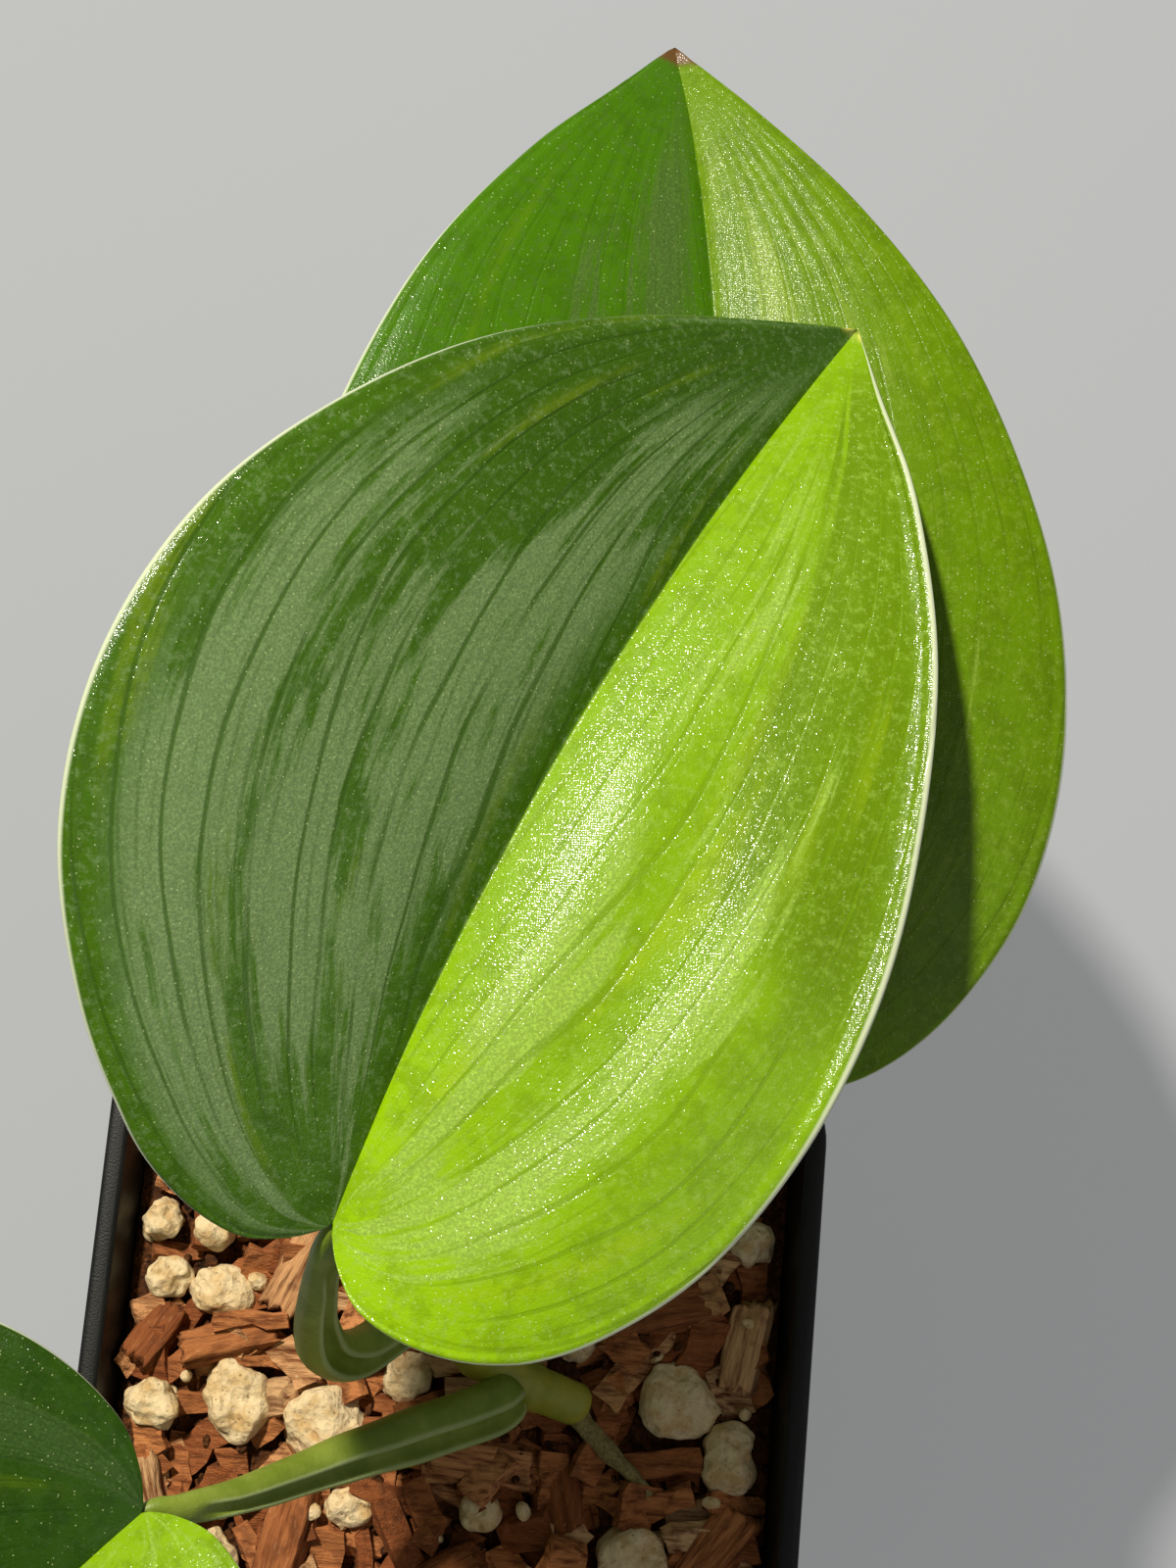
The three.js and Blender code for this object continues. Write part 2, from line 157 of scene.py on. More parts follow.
def srgb(red, green, blue):
    """A colour from its usual 0 to 255 numbers."""
    parts = [value / 255 for value in (red, green, blue)]
    return tuple(p / 12.92 if p <= 0.04045 else ((p + 0.055) / 1.055) ** 2.4 for p in parts)


def mesh_object(name, points, faces, materials):
    """An object at the origin; its points are in millimetres."""
    mesh = bpy.data.meshes.new(name)
    mesh.from_pydata((np.asarray(points, float) * MM).tolist(), [], [tuple(f) for f in faces])
    mesh.polygons.foreach_set("use_smooth", [True] * len(mesh.polygons))
    for material in materials:
        mesh.materials.append(material)
    mesh.validate()
    made = bpy.data.objects.new(name, mesh)
    bpy.context.scene.collection.objects.link(made)
    return made


def add_lamp(name, lamp, colour=(1, 1, 1)):
    """A round lamp that faces the target from its azimuth and elevation."""
    azimuth = math.radians(lamp["azimuth"])
    elevation = math.radians(lamp["elevation"])
    towards = Vector((
        math.cos(azimuth) * math.cos(elevation),
        math.sin(azimuth) * math.cos(elevation),
        math.sin(elevation),
    ))
    data = bpy.data.lights.new(name, "AREA")
    data.shape = "DISK"
    data.size = lamp["width"] * MM
    data.energy = lamp["watts"]
    data.color = colour
    made = bpy.data.objects.new(name, data)
    made.location = (Vector(LAMP_TARGET) + towards * lamp["distance"]) * MM
    made.rotation_mode = "QUATERNION"
    made.rotation_quaternion = (-towards).to_track_quat("-Z", "Y")
    bpy.context.scene.collection.objects.link(made)


floor_material, floor_nodes, floor_shader = new_material("floor_sheet")
floor_shader.inputs["Base Color"].default_value = (*FLOOR_COLOUR, 1)
floor_shader.inputs["Roughness"].default_value = 0.9
floor_shader.inputs["Emission Color"].default_value = (1, 1, 1, 1)
floor_shader.inputs["Emission Strength"].default_value = FLOOR_GLOW
corners = [(-1, -1), (1, -1), (1, 1), (-1, 1)]
floor = mesh_object("floor", [(x * FLOOR_HALF, y * FLOOR_HALF, 0) for x, y in corners],
                    [(0, 1, 2, 3)], [floor_material])
add_lamp("key_lamp", KEY, KEY_COLOUR)
add_lamp("fill_lamp", FILL)
world = bpy.data.worlds.new("surround")
world.use_nodes = True
world.node_tree.nodes["Background"].inputs["Color"].default_value = (*SURROUND_COLOUR, 1)
world.node_tree.nodes["Background"].inputs["Strength"].default_value = SURROUND_STRENGTH
bpy.context.scene.world = world


# Pot: one thin moulding of black plastic with a fine matt grain, tapered so that pots
# nest, with a lip around the rim. It stands on a foot ring and a middle pad, and eight
# drain holes open in the groove between them.
POT_HEIGHT = 62
RIM_WIDTH = 64
FOOT_WIDTH = 47
LIP_HEIGHT = 4
LIP_OUT = 0.8
WALL = 1.1
RIM_CORNER = 7
FOOT_CORNER = 5
FOOT_RING_WIDTH = 3
PAD_WIDTH = 14
FLOOR_UNDERSIDE = 1.2
FLOOR_TOP = 2.6
DRAINS = [(3.2, 13 * math.sqrt(2), 45), (2.4, 14, 0)]
CORNER_STEPS = 12
SIDE_STEPS = 6


def pot_width(z):
    return FOOT_WIDTH + (RIM_WIDTH - 2 * LIP_OUT - FOOT_WIDTH) * z / POT_HEIGHT


def pot_corner(z):
    return FOOT_CORNER + (RIM_CORNER - FOOT_CORNER) * z / POT_HEIGHT


def square_ring(width, corner, z):
    """A rounded square, with extra points along its straight sides."""
    middle = width / 2 - corner
    ring = []
    for quarter in range(4):
        start = quarter * math.pi / 2
        cx = middle * (1 if quarter in (0, 3) else -1)
        cy = middle * (1 if quarter in (0, 1) else -1)
        for step in range(CORNER_STEPS + 1):
            angle = start + step / CORNER_STEPS * math.pi / 2
            ring.append((cx + corner * math.cos(angle), cy + corner * math.sin(angle), z))
        x, y, _ = ring[-1]
        along_x, along_y = -math.sin(start + math.pi / 2), math.cos(start + math.pi / 2)
        for step in range(1, SIDE_STEPS):
            reach = 2 * middle * step / SIDE_STEPS
            ring.append((x + along_x * reach, y + along_y * reach, z))
    return ring


def loft(rings, close_ends=True):
    """Points and faces of a skin through rings of equal counts, with a fan at each end."""
    count = len(rings[0])
    points = [point for ring in rings for point in ring]
    faces = []
    for row in range(len(rings) - 1):
        for i in range(count):
            j = (i + 1) % count
            a, b = row * count + i, row * count + j
            faces.append((a, b, b + count, a + count))
    if close_ends:
        for row, flip in ((0, True), (len(rings) - 1, False)):
            middle = len(points)
            points.append(tuple(np.mean(rings[row], axis=0)))
            for i in range(count):
                a, b = row * count + i, row * count + (i + 1) % count
                faces.append((b, a, middle) if flip else (a, b, middle))
    return points, faces


def pot_rings():
    """From the middle of the underside, up the outside, over the rim and down the inside."""
    lip = POT_HEIGHT - LIP_HEIGHT
    rings = []
    for z, inset in ((0, 0.7), (0.08, 0.35), (0.3, 0.1), (0.8, 0)):
        rings.append(square_ring(pot_width(z) - 2 * inset, pot_corner(z) - inset, z))
    for z in np.linspace(4, lip, 12):
        rings.append(square_ring(pot_width(z), pot_corner(z), z))
    for z, out in ((lip + 0.15, 0.35), (lip + 0.4, 0.68), (lip + LIP_OUT, LIP_OUT - 0.04)):
        rings.append(square_ring(pot_width(z) + 2 * out, pot_corner(z) + out, z))
    for z, inset in ((POT_HEIGHT - 0.5, 0.02), (POT_HEIGHT - 0.16, 0.12), (POT_HEIGHT - 0.02, 0.38),
                     (POT_HEIGHT, 0.7), (POT_HEIGHT, LIP_OUT + WALL - 0.45)):
        rings.append(square_ring(RIM_WIDTH - 2 * inset, RIM_CORNER - inset, z))
    for z, inset in ((POT_HEIGHT - 0.1, WALL - 0.12), (POT_HEIGHT - 0.5, WALL), (lip, WALL)):
        rings.append(square_ring(pot_width(z) - 2 * inset, pot_corner(z) - inset, z))
    for z in np.linspace(lip - 4, FLOOR_TOP + 1.6, 10):
        rings.append(square_ring(pot_width(z) - 2 * WALL, pot_corner(z) - WALL, z))
    for z, inset in ((FLOOR_TOP + 0.5, WALL + 0.3), (FLOOR_TOP, WALL + 1.3)):
        rings.append(square_ring(pot_width(z) - 2 * inset, pot_corner(z) - inset, z))
    return rings


def keep_result(piece):
    """Makes what the piece's modifiers give its own plain mesh."""
    seen = piece.evaluated_get(bpy.context.evaluated_depsgraph_get())
    plain = bpy.data.meshes.new_from_object(seen)
    piece.modifiers.clear()
    piece.data = plain


def cut_away(piece, cutter):
    """Cuts the cutter out of the piece and deletes the cutter."""
    modifier = piece.modifiers.new("cut", "BOOLEAN")
    modifier.operation = "DIFFERENCE"
    modifier.object = cutter
    keep_result(piece)
    bpy.data.objects.remove(cutter)


def pot_cutters():
    """The groove around the pad, as one ring-shaped cutter, and the drain drills."""
    cutters = []
    groove = FOOT_WIDTH - 2 * FOOT_RING_WIDTH
    ring = [square_ring(width, corner, z) for width, corner, z in (
        (groove + 0.6, FOOT_CORNER - 1.7, -1), (groove + 0.6, FOOT_CORNER - 1.7, 0),
        (groove, FOOT_CORNER - 2, 0.3), (groove - 0.6, FOOT_CORNER - 2.3, FLOOR_UNDERSIDE),
        (PAD_WIDTH + 0.6, 2.3, FLOOR_UNDERSIDE), (PAD_WIDTH, 2, 0.3),
        (PAD_WIDTH - 0.6, 1.7, 0), (PAD_WIDTH - 0.6, 1.7, -1))]
    points, faces = loft(ring + ring[:1], close_ends=False)
    cutters.append((points, [face[::-1] for face in faces]))
    for radius, reach, first in DRAINS:
        for quarter in range(4):
            angle = math.radians(first + 90 * quarter)
            x, y = reach * math.cos(angle), reach * math.sin(angle)
            turns = np.linspace(0, 2 * math.pi, 32, endpoint=False)
            rings = [[(x + wide * math.cos(t), y + wide * math.sin(t), z) for t in turns]
                     for z, wide in ((-1, radius + 0.3), (FLOOR_UNDERSIDE, radius + 0.3),
                                     (FLOOR_UNDERSIDE + 0.3, radius), (FLOOR_TOP + 2, radius))]
            cutters.append(loft(rings))
    return cutters


def pot_plastic():
    material, nodes, shader = new_material("black_pot_plastic")
    place = object_place(nodes)
    grain = nodes.noise(place, 5.5, 3)
    cloudy = nodes.noise(place, 0.12, 4, 0.6)
    height = nodes.add("ShaderNodeSeparateXYZ", {0: place}).outputs[2]
    dust = nodes.times(nodes.step(cloudy, 0.45, 0.75), nodes.step(height, 60, 5, 0.25, 1.0))
    specks = nodes.step(nodes.noise(place, 1.7, 2), 0.68, 0.76)
    dust = nodes.math("MAXIMUM", dust, nodes.times(specks, 0.5))
    colour = nodes.mix(nodes.times(dust, 0.16), (0.006, 0.0065, 0.006), (0.13, 0.115, 0.09))
    nodes.fill(shader, {
        "Base Color": colour,
        "Roughness": nodes.step(nodes.math("ADD", cloudy, dust), 0.3, 1.3, 0.42, 0.66),
        "Specular IOR Level": 0.3,
        "Normal": nodes.bump(grain, 0.035),
    })
    return material


pot = mesh_object("nursery_pot", *loft(pot_rings()), [pot_plastic()])
for number, (points, faces) in enumerate(pot_cutters()):
    cut_away(pot, mesh_object(f"cutter_{number}", points, faces, []))
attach(pot, "root")
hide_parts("pot")


# Potting mix: the fine part of the mix, dark crumbs of composted bark that fill the pot
# to just under the rim and lie in small clods between the larger pieces.
MIX_LEVEL = 57
MIX_BUMP = 0.7
MIX_DROP = 1.1
MIX_GAP = 0.25
MIX_RINGS = 58


def mix_height(x, y):
    """The level of the mix, as the frame has it."""
    short = math.sin(x * 0.55 + 1.3) * math.cos(y * 0.48 - 0.4)
    long = math.sin(x * 0.21 - y * 0.33)
    return MIX_LEVEL + MIX_BUMP * (short + 0.7 * long)


def clod_height(x, y):
    """The surface of the fine mix under the loose pieces."""
    clods = noise.noise(Vector((x * 0.45, y * 0.45, 3.1))) * 0.9
    crumbs = noise.noise(Vector((x * 1.7, y * 1.7, 9.4))) * 0.45
    return mix_height(x, y) - MIX_DROP + clods + crumbs


def mix_rings():
    inset = 2 * (WALL + MIX_GAP)
    rings = [square_ring(pot_width(z) - inset, pot_corner(z) - WALL, z)
             for z in (FLOOR_TOP + MIX_GAP, *np.linspace(8, MIX_LEVEL - 3, 8))]
    edge = square_ring(pot_width(MIX_LEVEL) - inset, pot_corner(MIX_LEVEL) - WALL, 0)
    for share in np.linspace(1, 0.01, MIX_RINGS):
        rings.append([(x * share, y * share, clod_height(x * share, y * share)) for x, y, _ in edge])
    return rings


def fine_mix():
    material, nodes, shader = new_material("dark_fine_mix")
    place = object_place(nodes)
    tone = nodes.noise(place, 1.1, 5, 0.65)
    grains = nodes.add("ShaderNodeTexVoronoi", {"Vector": place, "Scale": 1.9})
    colour = nodes.mix(nodes.step(tone, 0.3, 0.7), srgb(34, 19, 8), srgb(112, 66, 32))
    pale = nodes.step(nodes.noise(place, 2.6, 2), 0.66, 0.72)
    colour = nodes.mix(nodes.times(pale, 0.5), colour, srgb(150, 108, 66))
    rough = nodes.bump(tone, 0.5)
    nodes.fill(shader, {
        "Base Color": colour,
        "Roughness": nodes.step(tone, 0.3, 0.7, 0.8, 1.0),
        "Specular IOR Level": 0.2,
        "Normal": nodes.bump(grains.outputs[0], 0.35, rough),
    })
    return material


mix_material = fine_mix()
mix = mesh_object("fine_mix", *loft(mix_rings()), [mix_material])
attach(mix, "root")
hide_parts("potting_mix")


# Small bark: split slivers and blocks of orange-brown fir bark, 3 to 9 mm long, poured
# loosely so that they overlap and leave dark gaps.
BARK_LAYERS = [
    {"name": "bark_lower", "seed": 4, "spacing": 3.0, "lift": -0.3, "size": (5.6, 2.3, 1.4), "room": 0.2},
    {"name": "bark_upper", "seed": 11, "spacing": 3.7, "lift": 0.8, "size": (6.4, 2.6, 1.6), "room": 1.2},
]
PUMICE_COUNT = 16
BED_INSET = 2.6
BED_CELLS = 40


def bark_material():
    material, nodes, shader = new_material("fir_bark")
    grain_place = nodes.add("ShaderNodeAttribute", attribute_name="grain").outputs["Vector"]
    tone = nodes.add("ShaderNodeAttribute", attribute_name="tone").outputs["Fac"]
    shift = nodes.vector(nodes.times(tone, 37.0), nodes.times(tone, 91.0), tone)
    local = nodes.vector_math("ADD", grain_place, shift)
    fibres = nodes.noise(nodes.vector_math("MULTIPLY", local, (0.16, 1.7, 1.7)), 1.0, 4, 0.62)
    fine = nodes.noise(nodes.vector_math("MULTIPLY", local, (0.9, 9.0, 9.0)), 1.0, 2, 0.5)
    blotch = nodes.noise(local, 0.35, 3, 0.55)
    warm = nodes.mix(nodes.step(tone, 0.0, 1.0), srgb(140, 78, 38), srgb(206, 134, 78))
    pale = nodes.mix(nodes.step(tone, 0.72, 0.95), warm, srgb(214, 170, 120))
    colour = nodes.mix(nodes.step(fibres, 0.3, 0.62), srgb(104, 54, 25), pale)
    colour = nodes.mix(nodes.step(blotch, 0.56, 0.7, 0.0, 0.5), colour, srgb(84, 46, 24))
    colour = nodes.mix(nodes.step(fine, 0.6, 0.75, 0.0, 0.35), colour, srgb(222, 168, 116))
    ridges = nodes.bump(fibres, 0.3)
    nodes.fill(shader, {
        "Base Color": colour,
        "Roughness": nodes.step(fibres, 0.3, 0.7, 0.95, 0.72),
        "Specular IOR Level": 0.25,
        "Normal": nodes.bump(fine, 0.12, ridges),
    })
    return material


def mesh_points(mesh):
    """The mesh's points, in millimetres."""
    points = np.empty(len(mesh.vertices) * 3)
    mesh.vertices.foreach_get("co", points)
    return points.reshape(-1, 3) / MM


def inside_pot(points):
    """Pushes points, in millimetres, back inside the pot's walls."""
    kept = np.array(points, float)
    half = pot_width(kept[:, 2]) / 2 - WALL - MIX_GAP
    corner = pot_corner(kept[:, 2]) - WALL
    middle = half - corner
    beyond = np.maximum(np.abs(kept[:, :2]) - middle[:, None], 0)
    reach = np.linalg.norm(beyond, axis=1)
    scale = np.where(reach > corner, corner / np.maximum(reach, 1e-6), 1.0)
    sides = np.sign(kept[:, :2])
    inner = np.minimum(np.abs(kept[:, :2]), middle[:, None])
    kept[:, :2] = sides * (inner + beyond * scale[:, None])
    return kept


def large_lumps():
    """Middle, half width and half depth of each large pumice lump."""
    lumps = []
    for number in range(1, PUMICE_COUNT + 1):
        low, high = (np.array(corner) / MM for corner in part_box(f"pumice_{number:02d}"))
        lumps.append((*(low + high)[:2] / 2, *(high - low)[:2] / 2))
    return lumps


def bed_mesh(name, room):
    """A sheet just inside the walls that follows the fine mix, for things to lie on. It
    has a hole around each large lump, so that nothing lies inside one."""
    half = pot_width(MIX_LEVEL) / 2 - WALL - BED_INSET
    steps = np.linspace(-half, half, BED_CELLS)
    points = [(x, y, clod_height(x, y)) for y in steps for x in steps]
    cell = steps[1] - steps[0]
    lumps = large_lumps()
    faces = []
    for row in range(BED_CELLS - 1):
        for column in range(BED_CELLS - 1):
            x, y = steps[column] + cell / 2, steps[row] + cell / 2
            if any(((x - cx) / (wide + room)) ** 2 + ((y - cy) / (deep + room)) ** 2 < 1
                   for cx, cy, wide, deep in lumps):
                continue
            a = row * BED_CELLS + column
            faces.append((a, a + 1, a + BED_CELLS + 1, a + BED_CELLS))
    return mesh_object(name, points, faces, [])


def scatter_tree(name, rough, tilt, blocky):
    """Lays uneven copies of one small block, or of a lump, over a surface. Each leans by up
    to tilt and has its surface pushed about by rough. Sizes are in metres."""
    tree = bpy.data.node_groups.new(name, "GeometryNodeTree")
    inputs = {"Geometry": "Geometry", "Spacing": "Float", "Lift": "Float", "Size": "Vector",
              "Seed": "Int", "Material": "Material"}
    for word, kind in inputs.items():
        tree.interface.new_socket(name=word, in_out="INPUT", socket_type="NodeSocket" + kind)
    tree.interface.new_socket(name="Geometry", in_out="OUTPUT", socket_type="NodeSocketGeometry")
    nodes = Nodes(tree)
    given = nodes.add("NodeGroupInput").outputs
    spread = nodes.add("GeometryNodeDistributePointsOnFaces",
                       {"Mesh": given["Geometry"], "Distance Min": given["Spacing"],
                        "Density Max": 400000.0, "Seed": given["Seed"]},
                       distribute_method="POISSON")
    if blocky:
        block = nodes.add("GeometryNodeMeshCube", {"Size": (1, 1, 1), "Vertices X": 5,
                                                   "Vertices Y": 3, "Vertices Z": 3}).outputs["Mesh"]
    else:
        block = nodes.add("GeometryNodeMeshIcoSphere", {"Radius": 0.5, "Subdivisions": 2}).outputs["Mesh"]

    def random_vector(low, high, more):
        seed = nodes.math("ADD", given["Seed"], more)
        return nodes.add("FunctionNodeRandomValue", {0: low, 1: high, 8: seed},
                         data_type="FLOAT_VECTOR").outputs[0]

    turn = random_vector((-tilt, -tilt, 0), (tilt, tilt, 2 * math.pi), 1)
    share = random_vector((0.5, 0.55, 0.55), (1.45, 1.4, 1.35), 2)
    size = nodes.vector_math("MULTIPLY", share, given["Size"])
    copies = nodes.add("GeometryNodeInstanceOnPoints",
                       {"Points": spread.outputs["Points"], "Instance": block,
                        "Rotation": turn, "Scale": size}).outputs[0]
    rise = random_vector((0, 0, 0), (0, 0, 0.0016), 3)
    up = nodes.vector_math("ADD", rise, nodes.vector(0.0, 0.0, given["Lift"]))
    copies = nodes.add("GeometryNodeTranslateInstances",
                       {"Instances": copies, "Translation": up, "Local Space": False}).outputs[0]
    tone = nodes.add("FunctionNodeRandomValue", {2: 0.0, 3: 1.0, 8: nodes.math("ADD", given["Seed"], 5)},
                     data_type="FLOAT").outputs[1]
    copies = nodes.add("GeometryNodeStoreNamedAttribute",
                       {"Geometry": copies, "Name": "tone", "Value": tone},
                       data_type="FLOAT", domain="INSTANCE").outputs[0]
    whole = nodes.add("GeometryNodeRealizeInstances", {0: copies}).outputs[0]
    place = nodes.add("GeometryNodeInputPosition").outputs[0]
    wobble = nodes.add("ShaderNodeTexNoise", {"Vector": place, "Scale": 420.0, "Detail": 1.0}).outputs[1]
    centred = nodes.vector_math("SUBTRACT", wobble, (0.5, 0.5, 0.5))
    push = nodes.vector_math("MULTIPLY", centred, (rough, rough, rough))
    whole = nodes.add("GeometryNodeSetPosition", {"Geometry": whole, "Offset": push}).outputs[0]
    whole = nodes.add("GeometryNodeSetMaterial", {0: whole, "Material": given["Material"]}).outputs[0]
    nodes.add("NodeGroupOutput", {0: whole})
    return tree


def scattered(name, tree, material, layer):
    """Runs the tree on a fresh bed and keeps the result as a plain mesh."""
    piece = bed_mesh(name, layer["room"])
    modifier = piece.modifiers.new("scatter", "NODES")
    modifier.node_group = tree
    values = {"Spacing": layer["spacing"] * MM, "Lift": layer["lift"] * MM,
              "Size": [value * MM for value in layer["size"]], "Seed": layer["seed"], "Material": material}
    for item in tree.interface.items_tree:
        if item.in_out == "INPUT" and item.name in values:
            modifier[item.identifier] = values[item.name]
    keep_result(piece)
    mesh = piece.data
    mesh.vertices.foreach_set("co", (inside_pot(mesh_points(mesh)) * MM).ravel())
    mesh.polygons.foreach_set("use_smooth", [False] * len(mesh.polygons))
    mesh.update()
    return piece


def store_grain(mesh, places):
    """Keeps each point's place along and across the grain of its wood."""
    grain = mesh.attributes.new("grain", "FLOAT_VECTOR", "POINT")
    grain.data.foreach_set("vector", np.asarray(places, float).ravel())


def store_number(mesh, name, values):
    """Keeps one number for each point."""
    kept = mesh.attributes.new(name, "FLOAT", "POINT")
    kept.data.foreach_set("value", np.broadcast_to(values, len(mesh.vertices)).astype(float))


bark = bark_material()
bark_tree = scatter_tree("loose_bark", 0.0016, 0.42, True)
for layer in BARK_LAYERS:
    chips = scattered(layer["name"], bark_tree, bark, layer)
    store_grain(chips.data, mesh_points(chips.data))
    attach(chips, "root")


# Large bark: the biggest split blocks on top of the mix. Each is a weathered block with
# ridges along its fibres and torn ends, in the place that the frame gives it.
CHIP_COUNT = 24
LUMP_CUTS = 3


def rounded_copy(node, rounds, factor):
    """The node's shape with its loose triangles joined, cut finer and smoothed, and its
    points, in millimetres, and normals."""
    shape = bmesh.new()
    shape.from_mesh(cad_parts[node].data)
    bmesh.ops.remove_doubles(shape, verts=shape.verts, dist=1e-6)
    bmesh.ops.dissolve_limit(shape, angle_limit=0.02, verts=shape.verts, edges=shape.edges)
    bmesh.ops.triangulate(shape, faces=shape.faces)
    for _ in range(LUMP_CUTS):
        bmesh.ops.subdivide_edges(shape, edges=shape.edges, cuts=1, use_grid_fill=True)
    for _ in range(rounds):
        bmesh.ops.smooth_vert(shape, verts=shape.verts, factor=factor,
                              use_axis_x=True, use_axis_y=True, use_axis_z=True)
    shape.normal_update()
    points = np.array([vert.co for vert in shape.verts]) / MM
    normals = np.array([vert.normal for vert in shape.verts])
    return shape, points, normals


def lump_object(name, shape, points, material):
    """The object made of a shape whose points, in millimetres, have been moved."""
    mesh = bpy.data.meshes.new(name)
    shape.to_mesh(mesh)
    shape.free()
    mesh.vertices.foreach_set("co", (inside_pot(points) * MM).ravel())
    mesh.polygons.foreach_set("use_smooth", [True] * len(mesh.polygons))
    mesh.materials.append(material)
    piece = bpy.data.objects.new(name, mesh)
    bpy.context.scene.collection.objects.link(piece)
    return piece


def grain_axes(points):
    """Middle and axes of a block: the longest first, the thinnest last."""
    middle = points.mean(axis=0)
    _, _, axes = np.linalg.svd(points - middle, full_matrices=False)
    return middle, axes


def weathered_chip(number):
    node = f"bark_chip_{number:02d}"
    shape, points, normals = rounded_copy(node, 3, 0.35)
    middle, axes = grain_axes(points)
    local = (points - middle) @ axes.T
    ends = np.abs(local[:, 0]).max()
    for i, (a, b, c) in enumerate(local):
        ridge = noise.noise(Vector((a * 0.22, b * 1.9, c * 1.9 + number * 7)))
        splinter = noise.noise(Vector((b * 2.6 + number, c * 2.6, number * 3.0)))
        torn = max(0, abs(a) / ends - 0.72) * 3.2
        points[i] += normals[i] * ridge * 0.42
        points[i] += axes[0] * np.sign(a) * splinter * torn * 1.3
    piece = lump_object(node + "_wood", shape, points, bark)
    store_grain(piece.data, local + number * 5.3)
    store_number(piece.data, "tone", (number * 0.618) % 1)
    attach(piece, "root")
    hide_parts(node)


for number in range(1, CHIP_COUNT + 1):
    weathered_chip(number)


# Pumice: rounded cream lumps of volcanic stone, full of small pits that hold brown dust.
# The large ones lie where the frame has them; small grains lie in between.
PIT_SPACING = 1.15


def pumice_material():
    material, nodes, shader = new_material("cream_pumice")
    place = object_place(nodes)
    pits = nodes.add("ShaderNodeTexVoronoi", {"Vector": place, "Scale": 1.5}).outputs[0]
    fine = nodes.noise(place, 4.5, 4, 0.7)
    stain = nodes.noise(place, 0.55, 3, 0.6)
    colour = nodes.mix(nodes.step(stain, 0.4, 0.7), srgb(236, 212, 166), srgb(208, 172, 116))
    colour = nodes.mix(nodes.step(fine, 0.56, 0.75, 0.0, 0.55), colour, srgb(142, 102, 62))
    colour = nodes.mix(nodes.step(pits, 0.2, 0.05, 0.0, 0.7), colour, srgb(118, 80, 46))
    dents = nodes.bump(pits, 0.22)
    nodes.fill(shader, {
        "Base Color": colour,
        "Roughness": nodes.step(fine, 0.2, 0.8, 0.82, 1.0),
        "Specular IOR Level": 0.22,
        "Normal": nodes.bump(fine, 0.14, dents),
    })
    return material


def pitted_lump(number):
    node = f"pumice_{number:02d}"
    shape, points, normals = rounded_copy(node, 11, 0.5)
    low, high = (np.array(corner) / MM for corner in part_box(node))
    span = (high - low) / (points.max(axis=0) - points.min(axis=0))
    points = (points - points.mean(axis=0)) * span * 0.97 + (low + high) / 2
    for i, point in enumerate(points):
        lumps = noise.noise(Vector(point) * 0.34) * 2.1 + noise.noise(Vector(point) * 0.9) * 0.6
        near = noise.voronoi(Vector(point) / PIT_SPACING)[0][0]
        pit = max(0, 0.42 - near) * 1.1
        points[i] += normals[i] * (lumps * 0.5 - pit)
    piece = lump_object(node + "_stone", shape, points, pumice)
    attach(piece, "root")
    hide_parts(node)


pumice = pumice_material()
for number in range(1, PUMICE_COUNT + 1):
    pitted_lump(number)
grain_tree = scatter_tree("loose_grains", 0.0005, 3.0, False)
stone_grains = scattered("pumice_grains", grain_tree, pumice,
                         {"spacing": 7.5, "lift": 0.9, "seed": 23, "size": (1.7, 1.5, 1.3), "room": 0.5})
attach(stone_grains, "root")
crumbs = scattered("mix_crumbs", grain_tree, mix_material,
                   {"spacing": 1.9, "lift": 0.2, "seed": 31, "size": (1.3, 1.0, 0.8), "room": 0.0})
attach(crumbs, "root")


# Stem and roots: the short yellow-green stem of the cutting, with a ring scar at each
# joint, lies on the mix. A tan cord-like root leaves its end and one holds it from below.
STEM_PATH = [(11.6, 0.8, 59), (7, 2.2, 61.2), (2.6, 4.6, 63.4), (-0.4, 7.2, 65.8)]
STEM_RADII = [1.9, 2.0, 2.1, 1.8]
ROOTS = {
    "aerial_root": ([(11.6, 0.2, 59), (12.4, -0.8, 58.7), (15, -3.2, 58.6), (17.2, -5, 58.4),
                     (19.3, -7, 57.8), (20.8, -8.6, 55.4)], [1.1, 0.9, 0.7, 0.6, 0.55, 0.5]),
    "anchor_root": ([(4.5, 2.8, 60.2), (5, 3, 55), (4, 4.5, 48), (6, 6, 38)],
                    [1.1, 1.0, 0.8, 0.5]),
}


def smooth_curve(points, per_span=40):
    """A rounded curve through the points."""
    points = np.asarray(points, float)
    padded = np.vstack([points[:1], points, points[-1:]])
    curve = []
    for i in range(len(points) - 1):
        p0, p1, p2, p3 = padded[i:i + 4]
        for t in np.linspace(0, 1, per_span, endpoint=i == len(points) - 2):
            curve.append(p1 + 0.5 * t * (p2 - p0 + t * (2 * p0 - 5 * p1 + 4 * p2 - p3
                                                        + t * (3 * (p1 - p2) + p3 - p0))))
    return np.array(curve)


def evenly(points, count):
    """The same line with points at even distances."""
    steps = np.linalg.norm(np.diff(points, axis=0), axis=1)
    along = np.concatenate([[0], np.cumsum(steps)])
    wanted = np.linspace(0, along[-1], count)
    return np.stack([np.interp(wanted, along, column) for column in points.T], axis=1)


